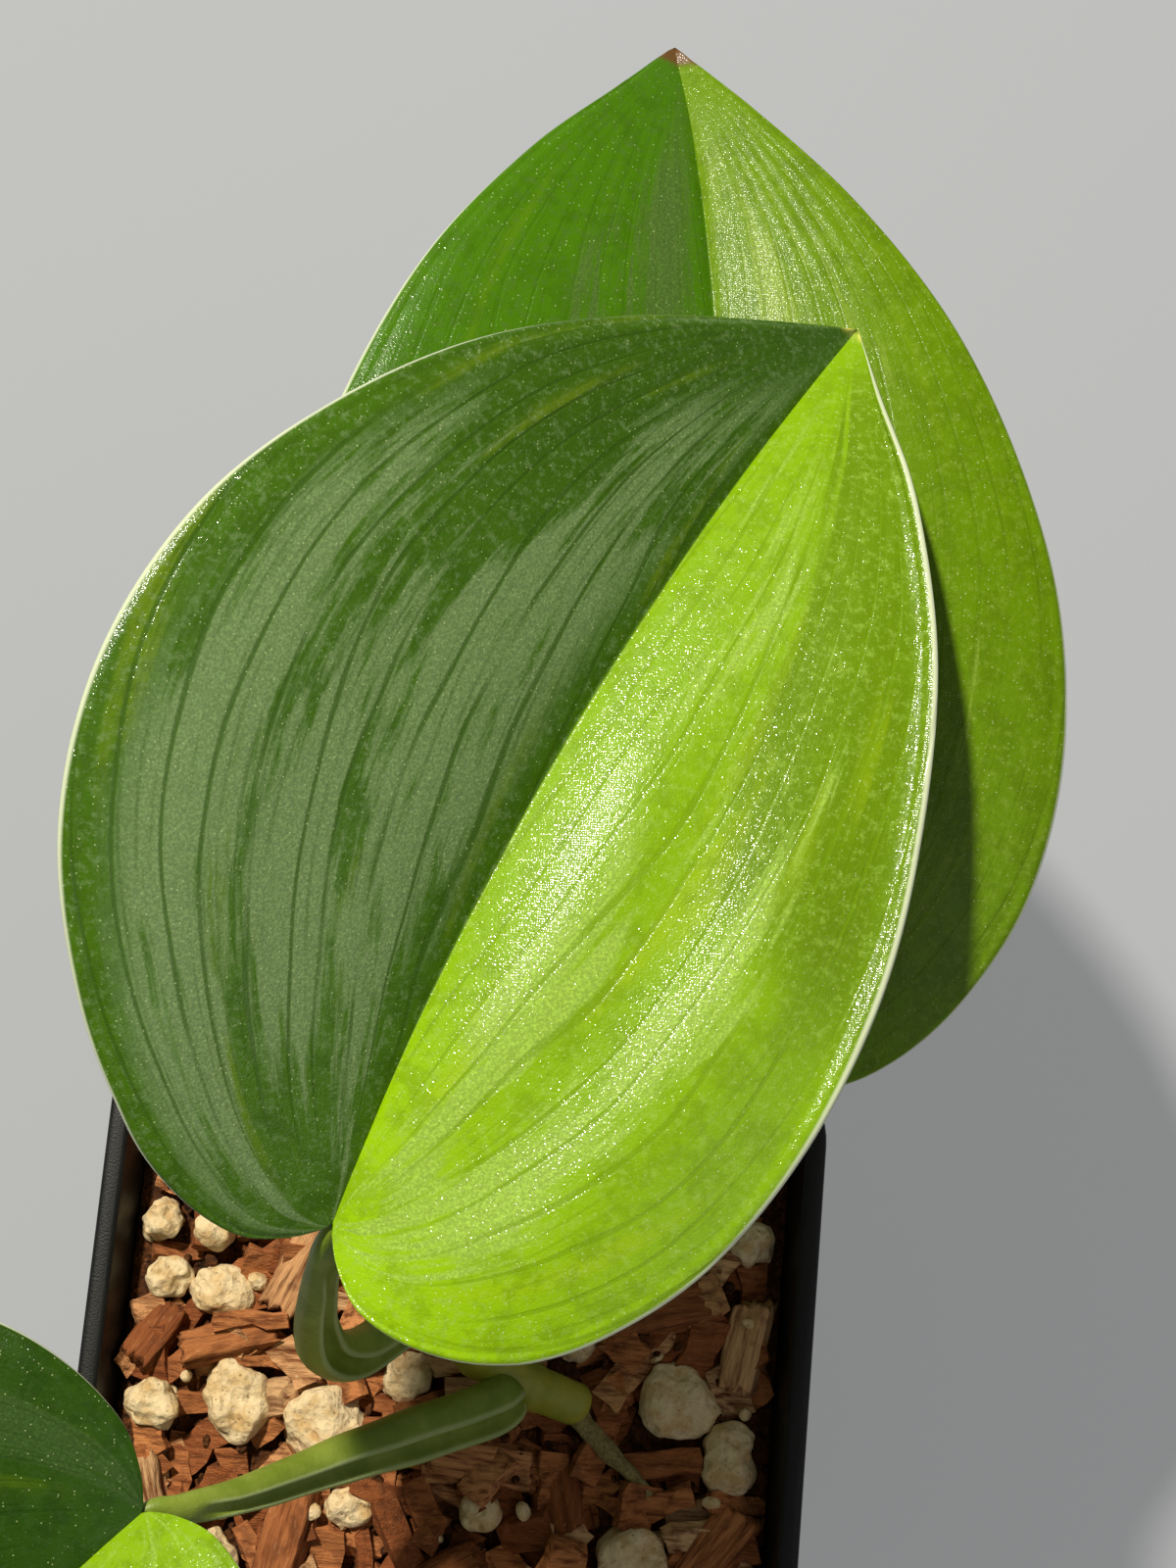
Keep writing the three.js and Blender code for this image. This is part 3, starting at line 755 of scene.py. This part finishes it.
def sweep(path, radii, section, steps, first_side):
    """Rings of a section carried along a path without twist. section(share) gives the
    ring's points, as shares of the radius there."""
    line = evenly(smooth_curve(path), steps)
    radius = np.interp(np.linspace(0, 1, steps), np.linspace(0, 1, len(radii)), radii)
    tangents = np.gradient(line, axis=0)
    tangents /= np.linalg.norm(tangents, axis=1)[:, None]
    side = np.array(first_side, float)
    rings = []
    for i in range(steps):
        side -= tangents[i] * side.dot(tangents[i])
        side /= np.linalg.norm(side)
        face = np.cross(tangents[i], side)
        flat = np.asarray(section(i / (steps - 1))) * radius[i]
        rings.append(line[i] + flat[:, :1] * side + flat[:, 1:] * face)
    return rings


def close_tapered(rings):
    """Rounds both ends off with three smaller rings each."""
    out = []
    for end, inner in ((0, 1), (-1, -2)):
        middle = rings[end].mean(axis=0)
        away = middle - rings[inner].mean(axis=0)
        away /= np.linalg.norm(away)
        reach = np.linalg.norm(rings[end] - middle, axis=1).mean()
        caps = []
        for share in (0.35, 0.65, 0.9):
            wide = math.sqrt(1 - share ** 2)
            caps.append(middle + (rings[end] - middle) * wide + away * reach * share * 0.7)
        out.append(caps)
    return out[0][::-1] + list(rings) + out[1]


def round_section(count, wobble, seed=0.0):
    """A circle of that many points, made uneven by the wobble."""
    def section(share):
        turns = np.linspace(0, 2 * math.pi, count, endpoint=False)
        reach = [1 + wobble * noise.noise(Vector((math.cos(t) * 1.4, math.sin(t) * 1.4, share * 9 + seed)))
                 for t in turns]
        return [(r * math.cos(t), r * math.sin(t)) for r, t in zip(reach, turns)]
    return section


def stem_section(share):
    """A round stem that swells at its joints and is ringed there."""
    joints = (0.3, 0.68)
    swell = 1 + sum(0.06 * math.exp(-((share - joint) / 0.05) ** 2) for joint in joints)
    groove = 1 - sum(0.035 * math.exp(-((share - joint - 0.05) / 0.01) ** 2) for joint in joints)
    return [(x * swell * groove, y * swell * groove) for x, y in round_section(32, 0.08)(share)]


FLESH = {"Subsurface Weight": 0.12, "Subsurface Radius": (0.5, 0.8, 0.2), "Subsurface Scale": 0.6 * MM}


def stem_skin():
    """Smooth satin skin, clouded in two greens, with small pale flecks."""
    material, nodes, shader = new_material("stem_skin")
    place = object_place(nodes)
    cloudy = nodes.noise(place, 0.35, 3, 0.55)
    fine = nodes.noise(place, 3.2, 3, 0.6)
    colour = nodes.mix(nodes.step(cloudy, 0.35, 0.68), srgb(140, 146, 34), srgb(166, 160, 52))
    colour = nodes.mix(nodes.step(fine, 0.6, 0.8, 0.0, 0.45), colour, srgb(186, 176, 104))
    nodes.fill(shader, {
        "Base Color": colour,
        "Roughness": nodes.step(fine, 0.2, 0.8, 0.42, 0.58),
        "Normal": nodes.bump(fine, 0.05),
        **FLESH,
    })
    return material


def root_skin():
    material, nodes, shader = new_material("corky_root")
    place = object_place(nodes)
    fine = nodes.noise(place, 3.0, 4, 0.7)
    colour = nodes.mix(nodes.step(fine, 0.3, 0.7), srgb(104, 92, 44), srgb(160, 142, 88))
    nodes.fill(shader, {
        "Base Color": colour,
        "Roughness": nodes.step(fine, 0.2, 0.8, 0.75, 0.95),
        "Normal": nodes.bump(fine, 0.2),
    })
    return material


stem = mesh_object("stem_of_cutting", *loft(close_tapered(sweep(
    STEM_PATH, STEM_RADII, stem_section, 70, (0, 1, 0)))), [stem_skin()])
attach(stem, "root")
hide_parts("stem")
root_material = root_skin()
for name, (path, radii) in ROOTS.items():
    cord_root = mesh_object(name + "_cork", *loft(close_tapered(sweep(
        path, radii, round_section(20, 0.35, path[0][0]), 60, (0, 0.3, 1)))), [root_material])
    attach(cord_root, "root")
    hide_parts(name)


# Leaf stalks: olive green, satin, half round below and channelled above, with a thin pale
# wing along each side of the channel. The wings end just under the blade, where the stalk
# turns round and bends over.
STALKS = {
    "front": ([(-0.6, 9.2, 66.4), (-1.7, 8.5, 67.6), (-4.6, 5.5, 70.2), (-7, 3.6, 74), (-8.7, 3.8, 80),
               (-9, 5.6, 87), (-8.3, 8, 95), (-7.4, 10.4, 102), (-6.7, 12.3, 106.2), (-5.4, 15, 106.9)],
              [2.2, 2.2, 2.2, 2.1, 2.0, 1.8, 1.6, 1.45, 1.25, 0.5], (-0.33, -0.77, -0.55)),
    "back": ([(1.6, 5.6, 64.2), (2.2, 7, 65.6), (5.5, 13, 70.5), (10.5, 20.5, 76.5),
              (15.8, 27.2, 84.5), (18.4, 30.1, 89.9), (18.7, 33, 90.9)],
             [2.2, 2.2, 2.0, 1.7, 1.5, 1.3, 0.5], (-1, 0.4, 0)),
    "left": ([(5.4, 0.8, 63), (4.2, -0.2, 64.2), (-0.5, -2.2, 68.6), (-7, -4.8, 76),
              (-13, -7.4, 83.6), (-17.2, -8.7, 88.4), (-19.6, -9, 90), (-21.8, -10.8, 90)],
             [2.5, 2.5, 2.4, 2.1, 1.8, 1.5, 1.3, 0.5], (-0.05, -0.8, -0.5)),
}
STALK_DEPTH = 0.8
HALF_CHANNEL = [(0.0, -0.84), (0.42, -0.78), (0.8, -0.5), (0.99, -0.08), (0.98, 0.28), (0.8, 0.6),
                (0.56, 0.82), (0.44, 0.86), (0.36, 0.74), (0.26, 0.56), (0.12, 0.44), (0.0, 0.4)]
WINGS_END = 0.86


def channel_section(share):
    """The winged section, turning into a plain round one near the blade."""
    half = evenly(smooth_curve(HALF_CHANNEL, 12), 25)
    ring = np.vstack([half, (half * (-1, 1))[-2:0:-1]])
    turns = np.linspace(-math.pi / 2, 3 * math.pi / 2, len(ring), endpoint=False)
    plain = np.stack([np.cos(turns), np.sin(turns) * STALK_DEPTH], axis=1)
    wing = 1 - min(max((share - WINGS_END + 0.1) / 0.1, 0), 1)
    wavy = 1 + 0.03 * math.sin(share * 31)
    return plain * (1 - wing) + ring * (wavy, 1) * wing


def stalk_material():
    """Satin olive skin, clouded and flecked, paler along the wings."""
    material, nodes, shader = new_material("stalk_skin")
    place = object_place(nodes)
    edge = nodes.add("ShaderNodeAttribute", attribute_name="wing").outputs["Fac"]
    cloudy = nodes.noise(place, 0.3, 3, 0.55)
    fine = nodes.noise(place, 3.4, 3, 0.6)
    colour = nodes.mix(nodes.step(cloudy, 0.35, 0.68), srgb(110, 130, 34), srgb(134, 150, 56))
    colour = nodes.mix(nodes.step(fine, 0.6, 0.82, 0.0, 0.3), colour, srgb(166, 178, 112))
    colour = nodes.mix(nodes.step(edge, 0.35, 0.95, 0.0, 0.5), colour, srgb(188, 200, 144))
    nodes.fill(shader, {
        "Base Color": colour,
        "Roughness": nodes.step(fine, 0.2, 0.8, 0.36, 0.52),
        "Specular IOR Level": 0.3,
        "Normal": nodes.bump(fine, 0.05),
        **FLESH,
    })
    return material


def make_stalk(place, path, radii, first_side):
    rings = close_tapered(sweep(path, radii, channel_section, 110, first_side))
    points, faces = loft(rings)
    piece = mesh_object(f"stalk_{place}", points, faces, [stalk_skin])
    ring = channel_section(0)
    high = np.clip((ring[:, 1] - 0.66) / 0.18, 0, 1)
    shares = np.linspace(0, 1, len(rings))
    fade = np.clip((WINGS_END - shares) / 0.08, 0, 1)
    wing = np.concatenate([(high[None, :] * fade[:, None]).ravel(), [0, 0]])
    store_number(piece.data, "wing", wing)
    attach(piece, "root")
    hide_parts(f"leaf_stalk_{place}")


stalk_skin = stalk_material()
for place, (path, radii, first_side) in STALKS.items():
    make_stalk(place, path, radii, first_side)


# Leaf blades: thick satin leaves, folded up along the midrib, with rolled margins. The
# skin sparkles with tiny domed cells, and ragged silvery streaks run between the veins.
OUTLINE = [
    (0, 0), (0.075, -0.026), (0.19, -0.045), (0.35, -0.04), (0.515, -0.012), (0.705, 0.051),
    (0.88, 0.152), (0.967, 0.28), (0.955, 0.423), (0.854, 0.556), (0.677, 0.697), (0.428, 0.825),
    (0.18, 0.925), (0.044, 0.985), (0, 1),
]
# Pairs are for the left and the right half, but "rise" is the midrib's slope at the stalk
# and at the tip. "rim" rolls the margin down, first near the stalk and then near the tip,
# and "wave" waves the half. "bare" sets how little silver there is. A zone is a side, its
# reach along and across it, and how much it adds to "bare"; where it adds enough, "deep"
# darkens the green. "veined" strengthens the veins, "streaked" the yellow streaks and
# "gloss" the skin's shine. "green" and "silver" hold painted shade and light: the half
# turned away from the key lamp gets a darker, less yellow copy of each colour as painted
# shade, and the half facing it a lighter, more lime copy as painted light.
LEAVES = {
    "front": dict(base=(-6.5, 12.8, 107.6), heading=27.4, roll=12.9, rise=(6.5, -18.9), pitch=-2,
                  length=81.6, width=(34.2, 30.3), fold=25.7, camber=(18, 28), tip_aside=-3.2, bow=-4.9,
                  seed=2.0, dry_tip=False, bare=(0.42, 0.575), wave=(0.1, 0.42), gloss=0.5, streaked=0.45,
                  rim=((0.9, 0.9), (0.6, -0.9)), deep=(0.35, 1.0), veined=(0.8, 0.6),
                  zones=((1, 0.1, 0.4, 0.38, 0.82, -0.09), (1, 0.46, 0.94, 0.44, 1.1, 0.15),
                         (-1, 0.62, 1.1, 0.3, 1.1, 0.1), (-1, -0.2, 0.18, -0.1, 1.1, 0.1)),
                  green=((62, 100, 4), (124, 165, 0)), silver=((112, 138, 84), (146, 180, 66))),
    "back": dict(base=(18.7, 30.7, 91.2), heading=0.2, roll=8.3, rise=(15.8, -13.3), pitch=5.7,
                 length=82.6, width=(35.8, 29), fold=20.4, camber=(25.6, 31), tip_aside=-7.9, bow=-1.1,
                 seed=11.0, dry_tip=True, bare=(0.54, 0.56), wave=(0.1, 0.1), gloss=0.14, streaked=0.15,
                 rim=((0.6, 0.6), (0.6, 0.6)), deep=(0.0, 0.0), veined=(0.3, 0.3),
                 zones=((1, 0.3, 1.1, -0.1, 0.55, -0.04), (1, -0.2, 1.1, 0.72, 1.1, 0.05),
                        (-1, 0.6, 1.1, -0.1, 0.4, -0.08), (-1, -0.2, 1.1, 0.5, 1.1, 0.06)),
                 green=((68, 115, 2), (96, 131, 0)), silver=((78, 106, 44), (124, 152, 48))),
    "left": dict(base=(-20, -9, 91), heading=-137.5, roll=6, rise=(5, -35.5), pitch=-5.5,
                 length=66, width=(33, 35.5), fold=26, camber=(30, 30), tip_aside=-6, bow=0,
                 seed=23.0, dry_tip=False, bare=(0.56, 0.54), wave=(0.1, 0.1), gloss=0.2, streaked=0.1,
                 rim=((0.6, 0.6), (0.6, 0.6)), deep=(0.0, 0.0), veined=(0.3, 0.3), zones=(),
                 green=((112, 150, 4), (36, 66, 3)), silver=((140, 174, 60), (56, 82, 32))),
}
BLADE_ROWS = 140
BLADE_THICKNESS = 0.5
EDGE_FROM = 0.974
VEIN_SLANT = 0.35
PLEAT_SPACING = 3.0
WAVE_START = 0.08
EDGE_BEAD = 0.15
CELL_TILT = 1.45
RIM_FROM = 0.88
BOW_STEPS = 300
HALVES_MEET = 0.006
ZONE_EDGE = 0.1
COLUMNS = np.concatenate([np.linspace(0, 0.92, 60), np.linspace(0.92, 1, 22)[1:]])


def ramp(value, low, high):
    """0 below low, 1 above high and smooth in between."""
    share = np.clip((value - low) / (high - low), 0, 1)
    return share * share * (3 - 2 * share)


def blade_half(leaf, side):
    """One half's middle surface, as rows from stalk to tip and columns from midrib to margin."""
    half = 0 if side < 0 else 1
    width, length = leaf["width"][half], leaf["length"]
    edge = evenly(smooth_curve(np.array(OUTLINE) * (width, length)), BLADE_ROWS + 1)
    share = np.linspace(0, 1, BLADE_ROWS + 1)[:, None]
    q = COLUMNS[None, :]
    x = q * edge[:, :1]
    y = (1 - q) * length * share + q * edge[:, 1:]
    first, last = (math.radians(rise - leaf["pitch"]) for rise in leaf["rise"])
    steps = np.linspace(0, 1, BOW_STEPS + 1)
    angles = first + (last - first) * (steps[1:] + steps[:-1]) / 2
    forward = np.concatenate([[0], np.cumsum(np.cos(angles))]) * length / BOW_STEPS
    upward = np.concatenate([[0], np.cumsum(np.sin(angles))]) * length / BOW_STEPS
    reach = np.clip(y / length, 0, 1)
    lean = first + (last - first) * reach
    mid_y = np.interp(reach, steps, forward) + np.minimum(y, 0) * math.cos(first)
    mid_z = np.interp(reach, steps, upward) + np.minimum(y, 0) * math.sin(first)
    fold = math.radians(leaf["fold"])
    curl = math.radians(leaf["camber"][half]) / width
    turn = fold - curl * x
    across = (math.sin(fold) - np.sin(turn)) / curl
    lift = (np.cos(turn) - math.cos(fold)) / curl
    room = edge[:, :1] / width
    at_base, at_tip = leaf["rim"][half]
    roll = at_base + (at_tip - at_base) * ramp(share, 0.3, 0.5)
    lift = lift - roll * np.clip((q - RIM_FROM) / (1 - RIM_FROM), 0, 1) ** 2 * np.minimum(1, room * 3)
    lift = lift - 0.18 * np.exp(-(x / 0.6) ** 2) * np.minimum(1, room * 3)
    wave = leaf["wave"][half] * np.sin(np.pi * share) * np.minimum(1, room * 1.5)
    wave = wave * (1 - 0.75 * ramp(share, 0.42, 0.62))
    lift = lift + wave * (np.sin(4 * np.pi * (q - WAVE_START)) + math.sin(4 * np.pi * WAVE_START))
    slanted = (q - VEIN_SLANT * share) * width
    wander = 0.9 * np.sin(share * 9 + leaf["seed"] + side) + 0.5 * np.sin(share * 21 + slanted * 0.4)
    pleat = np.sin((slanted + wander) * 2 * math.pi / PLEAT_SPACING)
    depth = (0.002 + 0.02 * ramp(share, 0.6, 0.8)) * (1 - ramp(share, 0.86, 0.96)) * ramp(share, 0.05, 0.25)
    depth = depth * np.minimum(1, room * 2.2) * ramp(q, 0.02, 0.12) * (1 - ramp(q, 0.9, 0.99))
    lift = lift + pleat * depth + 0.4 * ramp(share, 0.985, 1.0)
    aside = leaf["tip_aside"] * reach ** 3 + leaf["bow"] * 4 * reach * (1 - reach)
    local = np.stack([side * across + aside, mid_y - np.sin(lean) * lift, mid_z + np.cos(lean) * lift], -1)
    spin = (Matrix.Rotation(-math.radians(leaf["heading"]), 3, "Z")
            @ Matrix.Rotation(math.radians(leaf["pitch"]), 3, "X")
            @ Matrix.Rotation(math.radians(leaf["roll"]), 3, "Y"))
    return local @ np.array(spin).T + leaf["base"], room


def blade_mesh(leaf):
    """Points, faces and pattern places of a closed blade; upper faces come first."""
    halves = [blade_half(leaf, side) for side in (-1, 1)]
    middle = np.concatenate([halves[0][0][:, :0:-1], halves[1][0]], axis=1)
    room = np.concatenate([np.repeat(halves[0][1], len(COLUMNS) - 1, 1),
                           np.repeat(halves[1][1], len(COLUMNS), 1)], axis=1)
    q = np.concatenate([-COLUMNS[:0:-1], COLUMNS])
    along, across = np.gradient(middle, axis=0), np.gradient(middle, axis=1)
    normals = np.cross(across, along)
    normals /= np.maximum(np.linalg.norm(normals, axis=2), 1e-9)[:, :, None]
    edge = np.clip((np.abs(q) - EDGE_FROM) / (1 - EDGE_FROM), 0, 1)
    bead = BLADE_THICKNESS / 2 + EDGE_BEAD * ramp(np.abs(q), 0.946, EDGE_FROM)
    thick = bead * np.sqrt(1 - edge ** 2) * np.minimum(1, room * 6)
    share = np.linspace(0, 1, BLADE_ROWS + 1)[:, None]
    distance = np.abs(q) * room * leaf["width"][1]
    rib = 0.75 * np.exp(-(distance / 0.85) ** 2) * (1 - share) ** 0.6 * np.minimum(1, room * 4)
    upper = middle + normals * thick[:, :, None]
    lower = middle - normals * (thick + rib)[:, :, None]
    rows, count = middle.shape[:2]
    points = [upper[0, 0]]
    top, under = {}, {}
    for row in range(1, rows - 1):
        for column in range(count):
            top[row, column] = len(points)
            points.append(upper[row, column])
            if column in (0, count - 1):
                under[row, column] = top[row, column]
            else:
                under[row, column] = len(points)
                points.append(lower[row, column])
    tip = len(points)
    points.append(upper[-1, 0])
    for column in range(count):
        top[0, column] = under[0, column] = 0
        top[rows - 1, column] = under[rows - 1, column] = tip
    faces, places = [], []
    for skin, order in ((top, (0, 1, 2, 3)), (under, (3, 2, 1, 0))):
        for row in range(rows - 1):
            for column in range(count - 1):
                square = [(row, column), (row, column + 1), (row + 1, column + 1), (row + 1, column)]
                square = [square[i] for i in order]
                kept = []
                for corner in square:
                    if skin[corner] not in [skin[other] for other in kept]:
                        kept.append(corner)
                if len(kept) > 2:
                    faces.append([skin[corner] for corner in kept])
                    places.append([(corner[0] / (rows - 1), 0.5 + q[corner[1]] / 2) for corner in kept])
    return points, faces, places


def leaf_upper(name, leaf):
    """The upper skin: green in a darker copy as painted shade and a lighter copy as painted light on its
    two halves, ragged silver streaks, darker veins, pale specks and a pale rim that are partly painted
    highlight, and sparkling cells.
    """
    material, nodes, shader = new_material(name)
    uv = nodes.add("ShaderNodeUVMap", uv_map="blade").outputs[0]
    parts = nodes.add("ShaderNodeSeparateXYZ", {0: uv}).outputs
    along = parts[0]
    signed = nodes.math("MULTIPLY_ADD", parts[1], 2.0, -1.0)
    across = nodes.math("ABSOLUTE", signed)

    def by_half(left, other):
        """One value on the left half and another on the right."""
        return nodes.step(signed, -HALVES_MEET, HALVES_MEET, left, other)

    right = by_half(0.0, 1.0)
    slant = nodes.times(nodes.math("MULTIPLY_ADD", along, -VEIN_SLANT, across), float(leaf["width"][0]))
    flow = nodes.vector(slant, nodes.times(along, float(leaf["length"])),
                        nodes.math("MULTIPLY_ADD", right, 13.0, leaf["seed"]))
    place = object_place(nodes)

    def streaks(wide, long, detail=2.0, roughness=0.5):
        """Noise drawn out along the veins."""
        stretched = nodes.vector_math("MULTIPLY", flow, (1 / wide, 1 / long, 1))
        return nodes.noise(stretched, 1.0, detail, roughness)

    def sides(name, shade=1.0):
        """The leaf's pair of colours, one for each half: a darker copy as painted shade on the half turned
        away from the key lamp and a lighter copy as painted light on the half facing it.
        """
        left, other = (tuple(part * shade for part in srgb(*colour)) for colour in leaf[name])
        return nodes.mix(right, left, other)

    def lines(spacing, sway, half_width):
        """Long lines that follow the veins, 1 in their middles."""
        place_across = nodes.math("MULTIPLY_ADD", sway, 1.5, nodes.math("DIVIDE", slant, spacing))
        saw = nodes.math("ABSOLUTE", nodes.math("SUBTRACT", nodes.math("FRACT", place_across), 0.5))
        return nodes.step(saw, half_width / spacing, half_width / spacing * 0.3)

    ragged = streaks(0.9, 6.5, 3, 0.62)
    patches = nodes.math("MULTIPLY_ADD", nodes.math("SUBTRACT", ragged, 0.5), 0.5, streaks(6.5, 34, 2, 0.5))
    bare = by_half(*leaf["bare"])
    usual = bare
    uneven = nodes.math("MULTIPLY_ADD", streaks(3, 22), 0.5, nodes.math("SUBTRACT", across, 0.25))
    for side, start, end, inside, outside, amount in leaf["zones"]:
        zone = by_half(0.0, amount) if side > 0 else by_half(amount, 0.0)
        for part, low, high in ((along, start, end), (uneven, inside, outside)):
            zone = nodes.times(zone, nodes.step(part, low - ZONE_EDGE, low + ZONE_EDGE))
            zone = nodes.times(zone, nodes.step(part, high + ZONE_EDGE, high - ZONE_EDGE))
        bare = nodes.math("ADD", bare, zone)
    silver = nodes.step(nodes.math("SUBTRACT", patches, bare), -0.055, 0.06)
    inner = nodes.step(nodes.math("MULTIPLY_ADD", ragged, 0.1, across), 0.09, 0.2)
    outer = nodes.step(nodes.math("MULTIPLY_ADD", ragged, 0.12, across), 0.99, 0.88)
    reach = nodes.math("MULTIPLY_ADD", across, 0.32, along)
    start = nodes.step(nodes.math("MULTIPLY_ADD", ragged, 0.2, reach), 1.12, 0.96)
    for fade in (inner, outer, start):
        silver = nodes.times(silver, fade)
    veins = nodes.times(lines(3.4, streaks(7, 34), 0.3), nodes.step(streaks(4, 15), 0.28, 0.48))
    ends = nodes.times(nodes.step(along, 0.04, 0.2), nodes.step(along, 0.94, 0.72))
    veins = nodes.times(veins, ends)
    broken = nodes.times(ends, nodes.step(streaks(3, 12), 0.4, 0.65))
    thin = nodes.times(lines(1.25, streaks(5, 26), 0.2), broken)

    added = nodes.math("SUBTRACT", bare, usual)
    deep = nodes.times(nodes.step(added, 0.02, 0.12), by_half(*leaf["deep"]))
    colour = nodes.mix(deep, sides("green"), sides("green", 0.6))
    bright = nodes.mix(nodes.step(along, 0.34, 0.04), (1, 1, 1), (1.35, 1.3, 1.2))
    colour = nodes.add("ShaderNodeMix", {0: 1.0, 6: colour, 7: bright}, data_type="RGBA",
                       blend_type="MULTIPLY").outputs[2]
    yellow = nodes.step(streaks(4.2, 30, 2), 0.58, 0.68, 0.0, leaf["streaked"])
    yellow = nodes.times(yellow, ends)
    # The streaks' yellow is a darker copy on the left half as painted shade and a lighter one on the right
    # half as painted light.
    colour = nodes.mix(yellow, colour, nodes.mix(right, srgb(120, 144, 16), srgb(150, 180, 8)))
    mottle = nodes.step(nodes.noise(place, 4.4, 3, 0.65), 0.4, 0.68)
    sage = nodes.mix(mottle, sides("silver", 0.82), sides("silver", 1.28))
    clouds = nodes.step(nodes.noise(place, 0.4, 4, 0.68), 0.45, 0.62, 0.0, 0.5)
    colour = nodes.mix(clouds, colour, sides("green", 0.7))
    flecks = nodes.step(nodes.noise(place, 1.5, 4, 0.75), 0.48, 0.68, 0.0, 0.55)
    colour = nodes.mix(flecks, colour, sides("silver", 1.0))
    colour = nodes.mix(nodes.times(silver, 0.92), colour, sage)
    veined = by_half(*leaf["veined"])
    for marks, strength in ((veins, veined), (thin, nodes.times(veined, 0.5))):
        colour = nodes.mix(nodes.times(marks, strength), colour, sides("green", 0.72))
    # Pale specks: partly the skin's whitish cells, partly painted glints that stand in for sparkle.
    pale_specks_and_painted_glints = nodes.add("ShaderNodeTexVoronoi", {"Vector": place, "Scale": 2.8})
    chosen = nodes.add("ShaderNodeSeparateXYZ", {0: pale_specks_and_painted_glints.outputs["Color"]}).outputs[0]
    pale_specks_and_painted_glints = nodes.times(nodes.step(pale_specks_and_painted_glints.outputs["Distance"], 0.2, 0.12), nodes.step(chosen, 0.45, 0.9))
    colour = nodes.mix(nodes.times(pale_specks_and_painted_glints, 0.5), colour, srgb(206, 220, 160))
    # The margin band is the leaf's pale edge, whitened almost to white as a painted highlight along the
    # rim.
    margin = nodes.step(across, 0.982, 0.992)
    colour = nodes.mix(nodes.times(margin, 0.8), colour, srgb(222, 230, 196))
    point = nodes.times(nodes.step(along, 0.984, 0.995), nodes.step(across, 0.5, 0.95, 0.2, 0.9))
    colour = nodes.mix(point, colour, srgb(220, 214, 100))
    if leaf["dry_tip"]:
        dry = nodes.step(nodes.math("MULTIPLY_ADD", ragged, 0.02, along), 0.986, 0.996)
        colour = nodes.mix(dry, colour, srgb(104, 76, 40))

    furrows = nodes.math("MULTIPLY_ADD", thin, -0.4, nodes.times(veins, -1.0))
    shaped = nodes.bump(furrows, 0.02)
    cells = nodes.add("ShaderNodeTexVoronoi", {"Vector": place, "Scale": 5.5})
    domes = nodes.math("POWER", cells.outputs["Distance"], 2.0)
    domes = nodes.times(domes, nodes.step(margin, 0.0, 1.0, -1.0, 0.0))
    smooth = nodes.bump(domes, 0.02, shaped)
    tilt = nodes.vector_math("SUBTRACT", cells.outputs["Color"], (0.5, 0.5, 0.5))
    cubed = nodes.vector_math("MULTIPLY", nodes.vector_math("MULTIPLY", tilt, tilt), tilt)
    leaning = nodes.vector_math("MULTIPLY", cubed, (CELL_TILT, CELL_TILT, CELL_TILT))
    facets = nodes.vector_math("NORMALIZE", nodes.vector_math("ADD", leaning, smooth))
    nodes.fill(shader, {
        "Base Color": colour,
        "Roughness": nodes.step(margin, 0.0, 1.0, 0.34, 0.24),
        "Specular IOR Level": 0.12,
        "Coat Weight": nodes.step(margin, 0.0, 1.0, leaf["gloss"], 1.0),
        "Coat Roughness": nodes.step(margin, 0.0, 1.0, 0.1, 0.3),
        "Normal": smooth,
        "Coat Normal": facets,
    })
    return material


def leaf_under():
    """The paler, duller underside with a raised net of veins."""
    material, nodes, shader = new_material("leaf_underside")
    uv = nodes.add("ShaderNodeUVMap", uv_map="blade").outputs[0]
    parts = nodes.add("ShaderNodeSeparateXYZ", {0: uv}).outputs
    across = nodes.math("ABSOLUTE", nodes.math("MULTIPLY_ADD", parts[1], 2.0, -1.0))
    slant = nodes.times(nodes.math("MULTIPLY_ADD", parts[0], -VEIN_SLANT, across), 11.0)
    place = object_place(nodes)
    wander = nodes.math("MULTIPLY_ADD", nodes.noise(place, 0.12, 2), 1.2, slant)
    veins = nodes.step(nodes.math("ABSOLUTE", nodes.math("SUBTRACT", nodes.math("FRACT", wander), 0.5)),
                       0.12, 0.02)
    fine = nodes.noise(place, 2.8, 3, 0.6)
    colour = nodes.mix(nodes.step(fine, 0.3, 0.75), srgb(112, 142, 62), srgb(138, 166, 88))
    colour = nodes.mix(nodes.times(veins, 0.35), colour, srgb(160, 184, 116))
    colour = nodes.mix(nodes.step(across, 0.05, 0.0, 0.0, 0.7), colour, srgb(170, 188, 112))
    nodes.fill(shader, {
        "Base Color": colour,
        "Roughness": nodes.step(fine, 0.2, 0.8, 0.5, 0.62),
        "Normal": nodes.bump(nodes.math("ADD", fine, veins), 0.06),
    })
    return material


under_skin = leaf_under()
for place, leaf in LEAVES.items():
    points, faces, places = blade_mesh(leaf)
    upper_skin = leaf_upper(f"leaf_skin_{place}", leaf)
    blade = mesh_object(f"blade_{place}", points, faces, [upper_skin, under_skin])
    half_way = len(faces) // 2
    blade.data.polygons.foreach_set("material_index", [int(i >= half_way) for i in range(len(faces))])
    layer = blade.data.uv_layers.new(name="blade")
    layer.data.foreach_set("uv", np.array([uv for face in places for uv in face]).ravel())
    blade.data.update()
    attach(blade, "root")
    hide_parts(f"leaf_blade_{place}")
